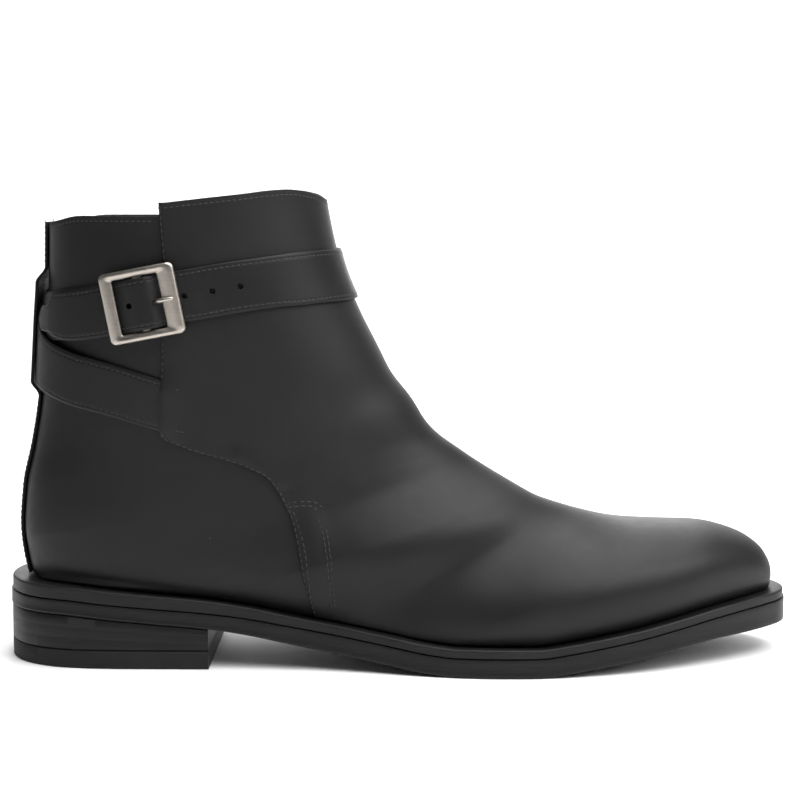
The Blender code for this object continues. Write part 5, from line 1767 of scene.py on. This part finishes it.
@dataclass
class Bottom:
    """Welt, outsole, heel and footbed."""

    sole: SoleForm
    edge: bpy.types.Material
    rubber: bpy.types.Material
    lining: bpy.types.Material
    stations: int = 220
    toe_drop: float = 0.0017
    groove: float = 0.00007

    def layer(self, name: str, kind: str, amount: float, levels, finish: bpy.types.Material,
              slot: Slot, stop: float | None = None) -> None:
        """Make a layer with the sole's outline.

        Args:
            name: its name, also the solid that it stands for; the piece's name adds _dressed.
            kind: kind of the inset outline.
            amount: its inset.
            levels: gives (height, inset, crown) triples for x; crown is the strength of a painted
                highlight.
            finish: its material.
            slot: its slot, which is not used.
            stop: x at which the layer is cut off square.
        """
        rear, toe = self.sole.sides(kind, amount)[:2]
        reach = np.linspace(0, math.pi if stop is None else math.pi / 2, self.stations)
        span = toe - rear if stop is None else 2 * (stop - rear)
        x = rear + span * (1 - np.cos(reach)) / 2
        low = self.sole.edge(kind, amount, x, Side.OUTER)
        high = self.sole.edge(kind, amount, x, Side.INNER)
        for k in (0,) if stop is not None else (0, -1):
            low[k] = high[k] = (low[k] + high[k]) / 2
        table = levels(x)
        rings, highlight_crowns = [], []
        for edge, sign, part in ((low, 1.0, table), (high, -1.0, table[::-1])):
            for z, inset, crown in part:
                shy = sign * np.minimum(inset, (high - low) / 2)
                rings.append(np.stack((x, edge + shy, z + 0 * x), axis=-1))
                highlight_crowns.append(np.full(len(x), crown))
        piece = Builder.loft(name + "_dressed", np.array(rings).transpose(1, 0, 2), finish,
                             {"crown": np.array(highlight_crowns).T.ravel()}, 40.0,
                             (False, stop is not None), 1e-6)
        Builder.place(piece, slot, name)

    def build(self) -> None:
        """Make the layers and the welt."""
        sole, r, half = self.sole, S.edge_round, S.welt_set / 2
        turn = np.linspace(0, math.pi / 2, 5)

        def outsole(x: np.ndarray) -> list:
            """Levels of the outsole."""
            drop = self.toe_drop * ease((sole.share(x) - 0.84) / 0.13)
            low, high = sole.underside(x) - drop, sole.welt_under(x) - S.gap
            tall = high - low
            # The last number of each level paints a highlight on the rounded crowns.
            table = [(low + r * (1 - math.cos(a)), r * (1 - math.sin(a)), 0.3) for a in turn]
            table += [(low + tall * t, 0.0002 * math.sin(t * math.pi) + S.welt_set * 0.6 * t, 0.0)
                      for t in (0.25, 0.4, 0.55, 0.7, 0.85)]
            table += [(high - 0.0004, S.welt_set * 0.8, 0.2), (high - 0.0001, S.welt_set, 0.2),
                      (high, S.welt_set + 0.0004, 0.0)]
            return table

        def stack(x: np.ndarray) -> list:
            """Levels of the heel's lifts, with a groove at each joint."""
            low, high = S.top_lift + S.gap, sole.underside(x) - S.gap
            table = [(low + 0 * x, 0.0003, 0.0), (low + 0.0003 + 0 * x, 0.0, 0.1)]
            # Painted highlights beside each groove.
            for share in (0.34, 0.67):
                z = low + (high - low) * share
                table += [(z - 0.0003, 0.0, 0.2), (z, self.groove, 0.0), (z + 0.0003, 0.0, 0.2)]
            return table + [(high - 0.0003, half, 0.1), (high, half + 0.0003, 0.0)]

        def lift(x: np.ndarray) -> list:
            """Levels of the rubber heel piece."""
            flat = 0 * x
            # A faint painted highlight just under the lift's top.
            return [(flat, r, 0.0), (flat + 0.0002, r * 0.35, 0.0), (flat + 0.0005, 0.0, 0.0),
                    (flat + S.top_lift - 0.0004, 0.0, 0.2), (flat + S.top_lift, 0.0004, 0.0)]

        self.layer("outsole", "edge", 0.0, outsole, self.edge, Slot.SOLE)
        self.layer("heel_stack", "edge", half, stack, self.edge, Slot.SOLE, S.heel_length / 2)
        self.layer("top_lift", "edge", half, lift, self.rubber, Slot.RUBBER, S.heel_length / 2)
        self.welt()
        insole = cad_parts["insole"]
        insole.data.materials.clear()
        insole.data.materials.append(self.lining)

    def welt(self) -> None:
        """Make the welt as a ring round the foot."""
        sole, r = self.sole, S.edge_round
        outer = sole.inset("edge", S.welt_set)
        inner = sole.inset("upper", -(S.wall + S.welt_lap))
        seat, under = sole.seat(outer[:, 0]), sole.welt_under(outer[:, 0])
        way = unit(inner - outer)
        reach = np.linalg.norm(inner - outer, axis=1)
        rings, highlight_crowns = [], []

        def ring(inward: np.ndarray, z: np.ndarray, crown: float) -> None:
            """Add a ring at a distance inwards."""
            spot = outer + way * (np.minimum(inward, reach) + 0 * reach)[:, None]
            rings.append(np.column_stack((spot, z)))
            highlight_crowns.append(crown)

        ring(reach, under, 0.0)
        ring(0.0004, under, 0.0)
        ring(0.0, under + 0.0003, 0.1)
        turn = np.linspace(0, math.pi / 2, 6)
        # The rounded top edge carries the strongest painted highlight.
        for a in turn:
            ring(r * (1 - math.cos(a)), seat - r * (1 - math.sin(a)), 1.0)
        ring(0.0020, seat - 0.00002, 0.4)
        ring(0.0032, seat - 0.00012, 0.2)
        ring(reach - S.wall - S.welt_lap - 0.0004, seat - 0.00025, 0.0)
        ring(reach, seat, 0.0)
        points = np.array(rings).transpose(1, 0, 2)
        points = np.concatenate((points, points[:1]))
        piece = Builder.loft("welt_dressed", points, self.edge,
                             {"crown": np.tile(highlight_crowns, len(points))}, 50.0, (False, False), 1e-7)
        Builder.place(piece, Slot.SOLE, "welt")


# Square soft lights: name, place, the point it faces, size and power.
LIGHTS = (
    ("top_light", (0.45, -0.30, 1.25), (0.14, 0.0, 0.02), 1.3, 27.0),
    ("toe_light", (1.25, -0.60, 1.00), (0.12, 0.0, 0.08), 1.1, 15.0),
    ("arch_light", (0.10, 0.95, 0.30), (0.06, 0.0, 0.0), 0.6, 3.0),
    ("back_light", (0.1, 1.2, 2.3), (0.1, 2.2, 0.8), 1.6, 60.0),
)


@dataclass
class Studio:
    """Floor, lights and camera, with the camera where the photo's was."""

    camera_at: tuple = (0.112, -0.712, 0.1755)
    pitch: float = 6.2
    lens: float = 82.8
    sweep: float = 1.2
    world_strength: float = 0.10

    def build(self) -> None:
        """Make the floor, the lights and the camera."""
        scene = bpy.context.scene
        xs = np.linspace(-3.0, 3.2, 3)
        path = [(-1.6, 0.0), (-0.5, 0.0), (1.0, 0.0)]
        path += [(1.0 + self.sweep * math.sin(a), self.sweep * (1 - math.cos(a)))
                 for a in np.linspace(0.1, 1.5, 14)]
        path += [(2.25, 2.6)]
        points = [(x, y, z) for y, z in path for x in xs]
        g = Graph("pale_floor")
        tone = g.noise(9.0, 2.0)
        g.set(Base_Color=g.mix(tone, (0.90, 0.90, 0.90), (0.93, 0.93, 0.93)),
              Roughness=0.75 + (tone - 0.5) * 0.1)
        floor = Builder.mesh("floor", np.array(points), Builder.grid(len(path), 3), g.material)
        if floor.data.polygons[0].normal.z < 0:
            floor.data.flip_normals()
        world = bpy.data.worlds.new("studio")
        world.use_nodes = True
        world.node_tree.nodes["Background"].inputs["Color"].default_value = (1.0, 1.0, 1.0, 1.0)
        world.node_tree.nodes["Background"].inputs["Strength"].default_value = self.world_strength
        scene.world = world
        scene.view_settings.view_transform = "Standard"
        for lamp in LIGHTS:
            self.light(*lamp)
        data = bpy.data.cameras.new("camera")
        data.lens, data.sensor_width = self.lens, 36.0
        data.clip_start, data.clip_end = 0.05, 20.0
        camera = bpy.data.objects.new("camera", data)
        camera.location = self.camera_at
        camera.rotation_euler = (math.radians(90.0 - self.pitch), 0.0, 0.0)
        scene.collection.objects.link(camera)
        scene.camera = camera

    @staticmethod
    def light(name: str, place: tuple, goal: tuple, size: float, power: float) -> None:
        """Add a square soft light."""
        data = bpy.data.lights.new(name, "AREA")
        data.size, data.energy = size, power
        lamp = bpy.data.objects.new(name, data)
        lamp.location = place
        lamp.rotation_euler = (Vector(goal) - Vector(place)).to_track_quat("-Z", "Y").to_euler()
        bpy.context.scene.collection.objects.link(lamp)


def main() -> None:
    """Build and dress every piece."""
    logging.basicConfig(level=logging.INFO, format="%(message)s")
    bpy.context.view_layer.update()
    upper_leather = Leather("calf_leather").build()
    strap_leather = Leather("strap_calf", rough=0.46, wave_depth=0.0001).build()
    edge_leather = EdgeLeather("edge_leather").build()
    rubber = Rubber("heel_rubber").build()
    metal = Metal("brushed_nickel").build()
    lining = Lining("lining_leather").build()
    thread = Thread("waxed_thread").build()
    sole = SoleForm()
    form = UpperForm(sole)
    Upper(form, upper_leather, lining, thread).build()
    lines = StrapForm(form)
    Straps(lines, strap_leather, thread).build()
    Buckle(lines, metal).build()
    Bottom(sole, edge_leather, rubber, lining).build()
    Studio().build()


def plain(box: object) -> list:
    """Box as plain lists of numbers."""
    return [[float(v) for v in corner] for corner in box]


if __name__ == "__main__":
    main()
